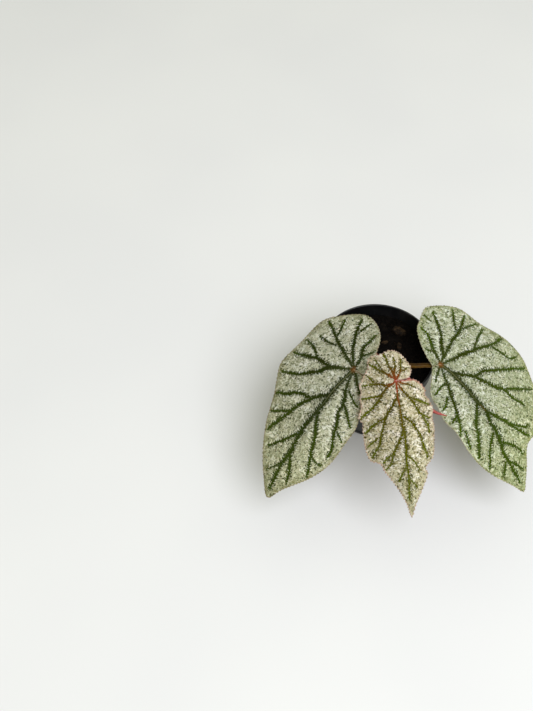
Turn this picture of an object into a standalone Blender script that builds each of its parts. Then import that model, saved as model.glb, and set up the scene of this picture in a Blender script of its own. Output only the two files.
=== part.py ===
"""Potted cane begonia: a round nursery pot, its soil, one short cane and three large leaves.

Units are metres with +Z up. The origin is the middle of the pot's foot, on the surface
that the pot stands on. +X is to the right and -Y is the side that the leaves hang towards.
"""
import math
import random

import bmesh
import bpy
import numpy as np
from mathutils import Matrix, Vector, noise
from mathutils.geometry import delaunay_2d_cdt

MM = 0.001
NAME = "potted_cane_begonia"
GAP = 0.3 * MM

# Pot
POT_HEIGHT = 79.8 * MM
RIM_RADIUS = 45.0 * MM
FOOT_RADIUS = 30.6 * MM
WALL = 1.2 * MM
LIP_HEIGHT = 2.6 * MM
BAND_RADIUS = 44.3 * MM
BAND_FOOT = 65.0 * MM
BODY_TOP_RADIUS = 42.6 * MM
BODY_FOOT_RADIUS = 30.1 * MM
FOOT_HEIGHT = 3.0 * MM
FLOOR_TOP = 3.8 * MM
PAD_RADIUS = 15.0 * MM
CHANNEL_OUTER = 27.4 * MM
CHANNEL_ROOF = 2.0 * MM
POT_STEPS = 48
DRAIN_HOLES = 6
DRAIN_HOLE_RADIUS = 3.4 * MM
DRAIN_HOLE_CIRCLE = 21.2 * MM

# Soil
SOIL_LEVEL = 68.6 * MM
SOIL_TOP_RADIUS = 42.1 * MM
SOIL_LUMP = 1.5 * MM
SOIL_STEPS = 36
SOIL_RINGS = 7
CHIP_COUNT = 16
CHIP_SEED = 7

# Cane
CANE_HOLE_DEPTH = 24.0 * MM
CANE_BASE_RADIUS = 3.2 * MM
CANE_TIP_RADIUS = 2.5 * MM
CANE_FOOT = (2.0, -4.0)
CANE_ROUTE = [(2, -4, 45.0), (2, -4, 58), (2, -4, 70), (2.8, -6.5, 78), (5.2, -12.0, 87), (8.6, -19.0, 95.5)]
CANE_PIECES = 6
CANE_NODES = (0.50, 0.66, 0.82, 0.94)
NODE_SWELL = 0.55 * MM

# Leaves
BLADE_THICKNESS = 0.8 * MM
BLADE_GRID = 6.5 * MM
BLADE_MARGIN_STEP = 2.6 * MM
WAVE_REACH = 16.0 * MM
CALM_RADIUS = 22.0 * MM

# Each leaf has its own flat frame in millimetres: u runs along the midrib from the point where
# the leafstalk joins, towards the tip, and w runs to the left of it. The outline starts and
# ends at the notch beside the leafstalk.
LEAVES = {
    "left": dict(
        attach=(-21.2, -27.7, 96.0), heading=-131.6, slope=26.7, length=113.6,
        arch=8.0, side_drop=7.0, side_width=45.0,
        wave=1.7, waves=7, wave_start=0.4, tooth=0.9,
        outline=[(-1, 9), (-9, 12), (-20, 5.5), (-31, 0), (-39, -10), (-40.5, -23), (-29, -38),
                 (-18, -47), (1, -50), (24, -52), (40, -45), (60, -36), (88, -22.5), (104, -10.5),
                 (114, 0), (103, 7), (85, 19.5), (68, 26), (48, 28), (30, 26), (15, 20), (5, 13),
                 (0.6, 9)]),
    "middle": dict(
        attach=(6.7, -46.4, 108.0), heading=-84.6, slope=35.9, length=98.9,
        arch=6.0, side_drop=5.0, side_width=28.0,
        wave=1.9, waves=10, wave_start=1.1, tooth=0.8,
        outline=[(-1.5, 5), (-4, 10), (-8, 12), (-12, 11), (-18, 7), (-21.5, 2), (-22, -3), (-20, -8.5),
                 (-20, -13), (-17, -17.5), (-12, -18), (-7, -21.5), (-3, -24.5), (1, -26.5),
                 (5, -26), (11, -27), (16, -27), (23, -30), (28, -27.5), (33, -28), (38, -28.3),
                 (44, -28), (50, -27), (55, -25), (57.5, -19), (63, -16.5), (70, -12), (78, -7.5),
                 (88, -3.2), (99, 0), (90, 3.5), (81, 8.5), (72.5, 13.5), (68, 15), (64.5, 13.8),
                 (58, 19), (52, 21), (44, 22.8), (38, 23), (29, 23.3), (23, 24), (16, 22), (12, 19.8),
                 (9, 20.5), (3.5, 17), (0.5, 13), (0.2, 6)]),
    "right": dict(
        attach=(44.1, -22.4, 90.0), heading=-55.2, slope=27.5, length=112.6,
        arch=8.0, side_drop=7.0, side_width=42.0,
        wave=1.8, waves=7, wave_start=2.3, tooth=0.9,
        outline=[(-3.6, -5.4), (-11, -4), (-21, 0), (-31, 6.5), (-36, 14), (-41, 24), (-39.5, 31),
                 (-32, 43), (-24, 50.5), (-8, 56.5), (6, 64), (18, 67), (36, 67.5), (52, 63.5),
                 (66, 58), (77, 48), (83, 33), (87, 23), (97, 15), (107, 6), (112.6, 0), (104, -6),
                 (90, -15), (78, -19.5), (64, -21.5), (46, -23.2), (30, -24), (18, -22), (9, -17),
                 (2.5, -11), (-1.4, -6.2)]),
}

# Leafstalks: each leaves the cane at a node (a share of the cane's length) with a heading in
# degrees, follows the points chosen by hand, in millimetres, and then the approach, whose points
# are u, w and the depth below the blade in the blade's own frame.
STALK_RADIUS = {"left": 1.9 * MM, "middle": 1.5 * MM, "right": 2.0 * MM}
STALK_NODE = {"left": (0.66, -128.0), "middle": (0.94, -80.0), "right": (0.82, -20.0)}
STALK_ROUTE = {
    "left": [(-2.0, -17.5, 80.8), (-5.5, -23.5, 85.5), (-10.0, -28.5, 89.5)],
    "middle": [(9.5, -25.0, 89.8), (8.2, -32.0, 95.5)],
    "right": [(17.0, -18.6, 86.4), (23.0, -21.0, 87.8), (29.0, -21.3, 88.2), (34.0, -20.8, 87.6)],
}
STALK_APPROACH = {
    "left": [(-2.8, 6.4, 4.5), (-1.8, 4.0, 4.5), (-0.9, 2.0, 3.9), (-0.4, 0.8, 3.0), (0.0, 0.0, 2.1)],
    "middle": [(-2.4, 0.0, 8.0), (-1.0, 0.0, 5.0), (-0.3, 0.0, 2.8), (0.0, 0.0, 1.2)],
    "right": [(-4.2, -4.1, 4.4), (-2.8, -2.5, 4.5), (-1.5, -1.3, 3.9), (-0.7, -0.5, 3.0), (0.0, 0.0, 2.15)],
}
STALK_START = 3.0 * MM

# Young leaf, still rolled, and the papery stipules at the nodes
YOUNG_LEAF_ROUTE = [(11.5, -23.5, 98.0), (16.0, -33.0, 96.5), (23.5, -48.5, 91.5), (33.2, -60.4, 88.0),
                    (43.7, -64.5, 86.0)]
YOUNG_LEAF_RADIUS = 2.1 * MM
STIPULE_LENGTH = 10.0 * MM
STIPULE_WIDTH = 4.6 * MM
STIPULE_THICKNESS = 0.6 * MM
STIPULE_CLEARANCE = 1.0 * MM
# Each stipule's node on the cane, its heading and its rise in degrees
STIPULES = [(0.50, 160.0, 60.0), (0.66, 170.0, 58.0), (0.82, 215.0, 55.0), (0.94, 205.0, 62.0)]


def clear_scene():
    for thing in list(bpy.data.objects):
        bpy.data.objects.remove(thing, do_unlink=True)


def new_collection(name):
    collection = bpy.data.collections.new(name)
    bpy.context.scene.collection.children.link(collection)
    return collection


def material(name, colour, roughness, subsurface=0.0):
    made = bpy.data.materials.new(name)
    made.use_nodes = True
    shader = made.node_tree.nodes["Principled BSDF"]
    shader.inputs["Base Color"].default_value = (*colour, 1.0)
    shader.inputs["Roughness"].default_value = roughness
    shader.inputs["Metallic"].default_value = 0.0
    shader.inputs["Subsurface Weight"].default_value = subsurface
    made.diffuse_color = (*colour, 1.0)
    return made


def add_object(name, mesh, collection, finish=None):
    thing = bpy.data.objects.new(name, mesh)
    collection.objects.link(thing)
    if finish:
        mesh.materials.append(finish)
    return thing


def evaluated_mesh(thing):
    """The object's mesh as its modifiers leave it."""
    bpy.context.view_layer.update()
    graph = bpy.context.evaluated_depsgraph_get()
    return bpy.data.meshes.new_from_object(thing.evaluated_get(graph))


def turned(name, profile, steps, collection, finish=None):
    """A solid turned round Z: the profile starts on the axis and runs down its outer side."""
    mesh = bpy.data.meshes.new(name)
    shape = bmesh.new()
    corners = [shape.verts.new((radius, 0.0, height)) for radius, height in profile]
    for first, second in zip(corners, corners[1:]):
        shape.edges.new((first, second))
    shape.to_mesh(mesh)
    shape.free()
    thing = add_object(name, mesh, collection, finish)
    screw = thing.modifiers.new("turn", "SCREW")
    screw.steps = steps
    screw.render_steps = steps
    screw.use_merge_vertices = True
    screw.merge_threshold = 0.00001
    screw.use_normal_calculate = True
    return thing


def smooth_route(points, pieces):
    """Points along a Catmull-Rom curve through the given ones."""
    knots = [Vector(point) for point in points]
    knots = [2 * knots[0] - knots[1]] + knots + [2 * knots[-1] - knots[-2]]
    route = []
    for before, start, end, after in zip(knots, knots[1:], knots[2:], knots[3:]):
        for step in range(pieces):
            t = step / pieces
            route.append(0.5 * (2 * start + (end - before) * t
                                + (2 * before - 5 * start + 4 * end - after) * t ** 2
                                + (3 * start - before - 3 * end + after) * t ** 3))
    route.append(knots[-2])
    return route


def gentle_route(points, pieces):
    """Points along a cubic B-spline, which rounds each bend off, from the first point to the last."""
    knots = [2 * points[0] - points[1]] + points + [2 * points[-1] - points[-2]]
    route = []
    for before, start, end, after in zip(knots, knots[1:], knots[2:], knots[3:]):
        for step in range(pieces):
            t = step / pieces
            route.append(((1 - t) ** 3 * before + (3 * t ** 3 - 6 * t ** 2 + 4) * start
                          + (3 * t + 3 * t ** 2 - 3 * t ** 3 + 1) * end + t ** 3 * after) / 6)
    route.append(points[-1])
    return route


def tube(name, route, radii, collection, finish, sides=2):
    """A round tube along the route, with filled caps and a radius for each point."""
    curve = bpy.data.curves.new(name, "CURVE")
    curve.dimensions = "3D"
    curve.bevel_depth = 1.0
    curve.bevel_resolution = sides
    curve.use_fill_caps = True
    spline = curve.splines.new("POLY")
    spline.points.add(len(route) - 1)
    for point, place, radius in zip(spline.points, route, radii):
        point.co = (*place, 1.0)
        point.radius = radius
    curve.materials.append(finish)
    thing = bpy.data.objects.new(name, curve)
    collection.objects.link(thing)
    return thing


def smooth_step(value):
    value = np.clip(value, 0.0, 1.0)
    return value * value * (3.0 - 2.0 * value)


def pot(collection, cutters, finish):
    inner_foot = BODY_FOOT_RADIUS - WALL
    inner_top = BODY_TOP_RADIUS - WALL
    lip_foot = POT_HEIGHT - LIP_HEIGHT
    rounding = 0.5 * MM
    profile = [
        (0.0, FLOOR_TOP), (inner_foot, FLOOR_TOP), (inner_top, BAND_FOOT - 0.4 * MM),
        (BAND_RADIUS - 1.6 * MM, BAND_FOOT + WALL), (RIM_RADIUS - 1.6 * MM, POT_HEIGHT - rounding),
        (RIM_RADIUS - 1.2 * MM, POT_HEIGHT), (RIM_RADIUS - rounding, POT_HEIGHT),
        (RIM_RADIUS, POT_HEIGHT - rounding), (RIM_RADIUS, lip_foot + rounding),
        (BAND_RADIUS + 0.1 * MM, lip_foot), (BAND_RADIUS - 0.5 * MM, BAND_FOOT + rounding),
        (BAND_RADIUS - 0.9 * MM, BAND_FOOT), (BODY_TOP_RADIUS, BAND_FOOT - 0.6 * MM),
        (BODY_FOOT_RADIUS, FOOT_HEIGHT + 0.3 * MM), (FOOT_RADIUS, FOOT_HEIGHT), (FOOT_RADIUS, 0.0),
        (CHANNEL_OUTER + 0.8 * MM, 0.0), (CHANNEL_OUTER, CHANNEL_ROOF),
        (PAD_RADIUS + 0.8 * MM, CHANNEL_ROOF), (PAD_RADIUS, 0.0), (0.0, 0.0)]
    body = turned("pot", profile, POT_STEPS, collection, finish)
    drill = bpy.data.meshes.new("drain_drill")
    shape = bmesh.new()
    for number in range(DRAIN_HOLES):
        angle = (number + 0.5) * math.tau / DRAIN_HOLES
        place = Vector((math.cos(angle), math.sin(angle), 0.0)) * DRAIN_HOLE_CIRCLE
        place.z = (CHANNEL_ROOF + FLOOR_TOP) / 2
        bmesh.ops.create_cone(shape, cap_ends=True, segments=16, radius1=DRAIN_HOLE_RADIUS,
                              radius2=DRAIN_HOLE_RADIUS, depth=FLOOR_TOP, matrix=Matrix.Translation(place))
    shape.to_mesh(drill)
    shape.free()
    cutter = add_object("drain_drill", drill, cutters)
    cutter.hide_render = True
    cutter.display_type = "WIRE"
    cut = body.modifiers.new("drain holes", "BOOLEAN")
    cut.operation = "DIFFERENCE"
    cut.object = cutter
    return body


def soil_height(x, y):
    """How far the soil's crust stands above or below its level."""
    coarse = noise.noise(Vector((x, y, 0.3)) / (11.0 * MM))
    fine = noise.noise(Vector((y, x, 4.7)) / (4.5 * MM))
    return SOIL_LUMP * (coarse + 0.6 * fine)


def soil_chips(collection):
    """Flat bits of bark, half sunk in the crust, placed at random round the pot."""
    draw = random.Random(CHIP_SEED)
    shape = bmesh.new()
    for number in range(CHIP_COUNT):
        angle = number * math.tau / CHIP_COUNT + draw.uniform(-0.15, 0.15)
        reach = draw.uniform(0.38, 0.86) * SOIL_TOP_RADIUS
        x = reach * math.cos(angle)
        y = reach * math.sin(angle)
        place = Vector((x, y, SOIL_LEVEL + soil_height(x, y) + 0.4 * MM))
        size = Vector((draw.uniform(4.0, 7.5), draw.uniform(2.6, 4.5), draw.uniform(1.6, 2.6))) * MM
        turn = (Matrix.Rotation(draw.uniform(0, math.tau), 4, "Z")
                @ Matrix.Rotation(draw.uniform(-0.3, 0.3), 4, "X"))
        matrix = Matrix.Translation(place) @ turn @ Matrix.Diagonal((*size, 1.0))
        made = bmesh.ops.create_icosphere(shape, subdivisions=1, radius=0.56, matrix=matrix)
        for vertex in made["verts"]:
            vertex.co += Vector((draw.uniform(-1, 1), draw.uniform(-1, 1), draw.uniform(-1, 1))) * 0.25 * MM
    mesh = bpy.data.meshes.new("chips")
    shape.to_mesh(mesh)
    shape.free()
    return add_object("chips", mesh, collection)


def soil(collection, cutters, finish):
    """The soil fills the pot to just under the band, with a lumpy crust and a hole for the cane."""
    foot_radius = BODY_FOOT_RADIUS - WALL - GAP
    shoulder_radius = BODY_TOP_RADIUS - WALL - GAP
    crust = [(SOIL_TOP_RADIUS * ring / SOIL_RINGS, SOIL_LEVEL) for ring in range(SOIL_RINGS + 1)]
    side = [(SOIL_TOP_RADIUS, BAND_FOOT + 1.8 * MM), (shoulder_radius, BAND_FOOT - 1.0 * MM),
            (foot_radius, FLOOR_TOP + GAP), (0.0, FLOOR_TOP + GAP)]
    block = turned("soil_block", crust + side, SOIL_STEPS, cutters)
    mesh = evaluated_mesh(block)
    bpy.data.objects.remove(block, do_unlink=True)
    for vertex in mesh.vertices:
        if vertex.co.z > SOIL_LEVEL - GAP:
            vertex.co.z += soil_height(vertex.co.x, vertex.co.y)
    body = add_object("soil", mesh, collection, finish)
    chips = soil_chips(cutters)
    join = body.modifiers.new("chips", "BOOLEAN")
    join.operation = "UNION"
    join.solver = "MANIFOLD"
    join.object = chips
    drill = bpy.data.meshes.new("cane_drill")
    shape = bmesh.new()
    middle = Vector((CANE_FOOT[0] * MM, CANE_FOOT[1] * MM, SOIL_LEVEL))
    bmesh.ops.create_cone(shape, cap_ends=True, segments=20, radius1=CANE_BASE_RADIUS + 2 * GAP,
                          radius2=CANE_BASE_RADIUS + 2 * GAP, depth=2 * CANE_HOLE_DEPTH,
                          matrix=Matrix.Translation(middle))
    shape.to_mesh(drill)
    shape.free()
    cutter = add_object("cane_drill", drill, cutters)
    hole = body.modifiers.new("cane hole", "BOOLEAN")
    hole.operation = "DIFFERENCE"
    hole.object = cutter
    for helper in (chips, cutter):
        helper.hide_render = True
        helper.display_type = "WIRE"
    return body


def cane_radius(share):
    """The cane tapers upwards and swells at its nodes."""
    swell = sum(math.exp(-((share - node) / 0.028) ** 2) for node in CANE_NODES)
    return CANE_BASE_RADIUS + (CANE_TIP_RADIUS - CANE_BASE_RADIUS) * share + NODE_SWELL * swell


def cane_route():
    return smooth_route([Vector(point) * MM for point in CANE_ROUTE], CANE_PIECES)


def cane_seat(share, heading, clearance):
    """A point just off the cane's side, and the direction square to the cane there."""
    route = cane_route()
    number = round(share * (len(route) - 1))
    direction = (route[min(number + 1, len(route) - 1)] - route[number - 1]).normalized()
    outward = Vector((math.cos(math.radians(heading)), math.sin(math.radians(heading)), 0.0))
    outward = (outward - outward.dot(direction) * direction).normalized()
    return route[number] + outward * (cane_radius(share) + clearance), outward


def cane(collection, finish):
    route = cane_route()
    last = len(route) - 1
    radii = [cane_radius(number / last) for number in range(last + 1)]
    radii[0] *= 0.75
    radii[-1] *= 0.8
    return tube("cane", route, radii, collection, finish, sides=3)


class LeafFrame:
    """The leaf's own axes, and the height of its surface above its flat frame."""

    def __init__(self, leaf):
        heading = math.radians(leaf["heading"])
        slope = math.radians(leaf["slope"])
        self.leaf = leaf
        self.origin = Vector(leaf["attach"]) * MM
        self.along = Vector((math.cos(heading) * math.cos(slope), math.sin(heading) * math.cos(slope),
                             -math.sin(slope)))
        self.across = Vector((-math.sin(heading), math.cos(heading), 0.0))
        self.up = self.along.cross(self.across)
        self.edge = margin(leaf)

    def height(self, u, w):
        """Arched along the midrib, drooping to both sides, with a waved margin."""
        leaf = self.leaf
        share = u / (leaf["length"] * MM)
        arch = 4.0 * leaf["arch"] * MM * share * (1.0 - share)
        droop = leaf["side_drop"] * MM * (w / (leaf["side_width"] * MM)) ** 2
        inward = distance_to_line(u, w, self.edge)
        near_edge = 1.0 - smooth_step(inward / WAVE_REACH)
        calm = smooth_step(np.hypot(u, w) / CALM_RADIUS)
        turn = np.arctan2(w, u - 0.3 * leaf["length"] * MM)
        wave = leaf["wave"] * MM * np.sin(leaf["waves"] * turn + leaf["wave_start"])
        return arch - droop + wave * near_edge * calm

    def place(self, u, w, height):
        return self.origin + self.along * u + self.across * w + self.up * height

    def under(self, u, w, below):
        """A point below the surface, square to it where the leafstalk joins."""
        rise = 4.0 * self.leaf["arch"] / self.leaf["length"]
        square = (self.up - self.along * rise).normalized()
        return self.place(u, w, float(self.height(u, w)[0])) - square * below


def margin(leaf):
    """The leaf's outline as evenly spaced points in metres, with its small teeth."""
    rounded = smooth_route([(u * MM, w * MM, 0.0) for u, w in leaf["outline"]], 12)
    line = np.array([(point.x, point.y) for point in rounded])
    walked = np.concatenate([[0.0], np.cumsum(np.hypot(*np.diff(line, axis=0).T))])
    count = int(walked[-1] / BLADE_MARGIN_STEP) // 2 * 2
    places = np.linspace(0.0, walked[-1], count + 1)
    edge = np.column_stack([np.interp(places, walked, line[:, axis]) for axis in (0, 1)])
    tangent = np.gradient(edge, axis=0)
    tangent /= np.linalg.norm(tangent, axis=1)[:, None]
    outward = np.column_stack([-tangent[:, 1], tangent[:, 0]])
    if np.sum(outward * edge) < 0:
        outward = -outward
    teeth = np.where(np.arange(count + 1) % 2 == 0, -1.0, 1.0) * leaf["tooth"] * MM / 2
    teeth[[0, -1]] = 0.0
    return np.vstack([[0.0, 0.0], edge + outward * teeth[:, None]])


def distance_to_line(u, w, line):
    """Distance from each point to a closed line."""
    points = np.column_stack([np.atleast_1d(u), np.atleast_1d(w)])
    nearest = np.full(len(points), np.inf)
    for start, end in zip(line, np.roll(line, -1, axis=0)):
        run = end - start
        share = np.clip((points - start) @ run / (run @ run), 0.0, 1.0)
        offset = points - start - share[:, None] * run
        nearest = np.minimum(nearest, np.hypot(offset[:, 0], offset[:, 1]))
    return nearest


def inside_line(points, line):
    """Which points lie inside a closed line."""
    inside = np.zeros(len(points), bool)
    for start, end in zip(line, np.roll(line, -1, axis=0)):
        crosses = (start[1] > points[:, 1]) != (end[1] > points[:, 1])
        rise = end[1] - start[1] if end[1] != start[1] else 1.0
        left = points[:, 0] < (end[0] - start[0]) * (points[:, 1] - start[1]) / rise + start[0]
        inside ^= crosses & left
    return inside


def blade(name, frame, collection, finish):
    """A thin closed blade: its outline and a staggered grid inside it, split into triangles."""
    low = frame.edge.min(axis=0)
    high = frame.edge.max(axis=0)
    rows = np.arange(low[1], high[1], BLADE_GRID * math.sqrt(0.75))
    grid = [(u + (row % 2) * BLADE_GRID / 2, w) for row, w in enumerate(rows)
            for u in np.arange(low[0], high[0], BLADE_GRID)]
    grid = np.array(grid)
    grid = grid[inside_line(grid, frame.edge)]
    grid = grid[distance_to_line(grid[:, 0], grid[:, 1], frame.edge) > 0.5 * BLADE_GRID]
    flat = np.vstack([frame.edge, grid])
    loop = [list(range(len(frame.edge)))]
    points, _, faces, *_ = delaunay_2d_cdt([Vector(point) for point in flat], [], loop, 1, 1e-7)
    u = np.array([point.x for point in points])
    w = np.array([point.y for point in points])
    heights = frame.height(u, w)
    mesh = bpy.data.meshes.new(name)
    shape = bmesh.new()
    corners = [shape.verts.new(frame.place(*place)) for place in zip(u, w, heights)]
    for face in faces:
        shape.faces.new([corners[index] for index in face])
    bmesh.ops.recalc_face_normals(shape, faces=shape.faces)
    shape.to_mesh(mesh)
    shape.free()
    thing = add_object(name, mesh, collection, finish)
    thicken = thing.modifiers.new("thickness", "SOLIDIFY")
    thicken.thickness = BLADE_THICKNESS
    thicken.offset = 0.0
    return thing


def leafstalk(side, frame, collection, finish):
    """The stalk leaves the cane square to it and ends just under the blade."""
    radius = STALK_RADIUS[side]
    seat, outward = cane_seat(*STALK_NODE[side], GAP)
    route = [seat, seat + outward * STALK_START] + [Vector(point) * MM for point in STALK_ROUTE[side]]
    for u, w, below in STALK_APPROACH[side]:
        route.append(frame.under(u * MM, w * MM, below * MM))
    route = gentle_route(route, 4)
    last = len(route) - 1
    radii = [radius * (1.12 - 0.24 * math.sin(math.pi * number / last)) for number in range(len(route))]
    radii[-1] *= 0.85
    return tube("leafstalk_" + side, route, radii, collection, finish, sides=2)


def young_leaf(collection, finish):
    """A new leaf, still rolled into a spike that is thickest near its point."""
    tip, before = cane_route()[-1], cane_route()[-2]
    foot = tip + (tip - before).normalized() * GAP
    route = smooth_route([foot] + [Vector(point) * MM for point in YOUNG_LEAF_ROUTE], 4)
    last = len(route) - 1
    radii = []
    for number in range(len(route)):
        t = number / last
        radii.append(YOUNG_LEAF_RADIUS * (0.45 + 0.9 * t) * (1.0 - t ** 5) + 0.25 * MM * t ** 5)
    return tube("young_leaf", route, radii, collection, finish, sides=2)


def stipule(number, node, heading, rise, collection, finish):
    """A small papery scale, pointed and cupped, that stands at a node."""
    mesh = bpy.data.meshes.new(f"stipule_{number}")
    shape = bmesh.new()
    rows = []
    steps = 5
    for step in range(steps + 1):
        t = step / steps
        half = STIPULE_WIDTH / 2 * (0.55 + 0.9 * t - 1.4 * t ** 2) + 0.1 * MM
        row = []
        for across in (-1.0, 0.0, 1.0):
            cup = 0.28 * STIPULE_WIDTH * across ** 2 * (1 - 0.5 * t)
            row.append(shape.verts.new((t * STIPULE_LENGTH, across * half, cup - 1.2 * MM * t ** 2)))
        rows.append(row)
    for low, high in zip(rows, rows[1:]):
        for side in (0, 1):
            shape.faces.new((low[side], high[side], high[side + 1]))
            shape.faces.new((low[side], high[side + 1], low[side + 1]))
    bmesh.ops.recalc_face_normals(shape, faces=shape.faces)
    shape.to_mesh(mesh)
    shape.free()
    thing = add_object(f"stipule_{number}", mesh, collection, finish)
    thing.location, _ = cane_seat(node, heading, STIPULE_CLEARANCE)
    thing.rotation_euler = (0.0, -math.radians(rise), math.radians(heading))
    thicken = thing.modifiers.new("thickness", "SOLIDIFY")
    thicken.thickness = STIPULE_THICKNESS
    thicken.offset = 0.0
    return thing


def build():
    clear_scene()
    plant = new_collection(NAME)
    cutters = new_collection("cutters")
    black_plastic = material("black pot plastic", (0.012, 0.012, 0.013), 0.42)
    dark_soil = material("dark potting soil", (0.018, 0.012, 0.008), 0.95)
    cane_green = material("cane", (0.16, 0.11, 0.035), 0.45, 0.1)
    stalk_tan = material("leafstalk", (0.30, 0.18, 0.06), 0.4, 0.15)
    silver_leaf = material("silver leaf", (0.48, 0.52, 0.40), 0.38, 0.1)
    rosy_leaf = material("rosy silver leaf", (0.60, 0.50, 0.40), 0.38, 0.1)
    new_growth = material("red new growth", (0.50, 0.06, 0.05), 0.4, 0.2)
    papery = material("papery stipule", (0.30, 0.12, 0.06), 0.6)

    pot(plant, cutters, black_plastic).data.shade_smooth()
    soil(plant, cutters, dark_soil)
    cane(plant, cane_green)
    for side, leaf in LEAVES.items():
        frame = LeafFrame(leaf)
        finish = rosy_leaf if side == "middle" else silver_leaf
        blade("blade_" + side, frame, plant, finish).data.shade_smooth()
        leafstalk(side, frame, plant, stalk_tan)
    young_leaf(plant, new_growth)
    for number, (node, heading, rise) in enumerate(STIPULES, 1):
        stipule(number, node, heading, rise, plant, papery)


build()
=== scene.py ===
"""Looks of the potted cane begonia: fine leaves, stalks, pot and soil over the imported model.

Lengths are in metres unless a name or a comment says millimetres.
"""
import math
import random

import bmesh
import bpy
import numpy as np
from mathutils import Matrix, Vector, noise
from mathutils.geometry import delaunay_2d_cdt


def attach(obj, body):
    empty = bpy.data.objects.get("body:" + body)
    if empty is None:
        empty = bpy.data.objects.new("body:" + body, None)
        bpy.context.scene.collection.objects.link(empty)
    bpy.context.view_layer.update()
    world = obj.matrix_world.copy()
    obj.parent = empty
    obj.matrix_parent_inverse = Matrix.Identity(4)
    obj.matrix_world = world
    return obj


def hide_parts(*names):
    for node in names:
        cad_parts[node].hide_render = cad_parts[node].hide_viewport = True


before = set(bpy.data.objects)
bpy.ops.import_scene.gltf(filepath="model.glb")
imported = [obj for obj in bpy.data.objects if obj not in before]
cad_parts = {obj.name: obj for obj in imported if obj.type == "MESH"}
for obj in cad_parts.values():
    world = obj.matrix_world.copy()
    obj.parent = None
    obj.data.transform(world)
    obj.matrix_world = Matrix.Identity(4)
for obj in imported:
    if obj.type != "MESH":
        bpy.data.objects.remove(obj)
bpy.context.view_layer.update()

MM = 0.001
BODY = "root"
GAP = 0.3 * MM

# Camera: fitted to the rims and feet of the pots in the photograph
IMAGE_HEIGHT = 711
FOCAL_PIXELS = 950.0
SENSOR = 36.0
CAMERA_PLACE = (-0.0855, -0.4114, 0.6853)
CAMERA_PITCH = 55.86
CAMERA_ROLL = -2.31

# Pot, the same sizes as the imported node
POT_HEIGHT = 79.8 * MM
RIM_RADIUS = 45.0 * MM
FOOT_RADIUS = 30.6 * MM
WALL = 1.2 * MM
LIP_HEIGHT = 2.6 * MM
BAND_RADIUS = 44.3 * MM
BAND_FOOT = 65.0 * MM
BODY_TOP_RADIUS = 42.6 * MM
BODY_FOOT_RADIUS = 30.1 * MM
FOOT_HEIGHT = 3.0 * MM
FLOOR_TOP = 3.8 * MM
PAD_RADIUS = 15.0 * MM
CHANNEL_OUTER = 27.4 * MM
CHANNEL_ROOF = 2.0 * MM
POT_STEPS = 160
DRAIN_HOLES = 6
DRAIN_HOLE_RADIUS = 3.4 * MM
DRAIN_HOLE_CIRCLE = 21.2 * MM

# Soil
SOIL_LEVEL = 68.6 * MM
SOIL_TOP_RADIUS = 42.1 * MM
SOIL_LUMP = 1.5 * MM
SOIL_STEPS = 150
SOIL_RINGS = 70
CHIP_COUNT = 16
CHIP_SEED = 7
LARGE_CHIP_PLACE = (19.5 * MM, 24.2 * MM)
LARGE_CHIP_SIZE = (9.5 * MM, 7.5 * MM, 3.6 * MM)
CRUMB_COUNT = 900
CRUMB_SEED = 21

# Cane
CANE_BASE_RADIUS = 3.2 * MM
CANE_TIP_RADIUS = 2.5 * MM
CANE_FOOT = (2.0, -4.0)
CANE_ROUTE = [(2, -4, 45.0), (2, -4, 58), (2, -4, 70), (2.8, -6.5, 78), (5.2, -12.0, 87), (8.6, -19.0, 95.5)]
CANE_PIECES = 6
CANE_NODES = (0.50, 0.66, 0.82, 0.94)
NODE_SWELL = 0.55 * MM

# Leaves
BLADE_THICKNESS = 0.7 * MM
MARGIN_THICKNESS = 0.35 * MM
WAVE_REACH = 16.0 * MM
CALM_RADIUS = 22.0 * MM
MARGIN_STEP = 0.45 * MM
# Reach in millimetres of the painted shade beside the midrib
PAINTED_VALLEY_SHADE_REACH = 4.5

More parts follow.
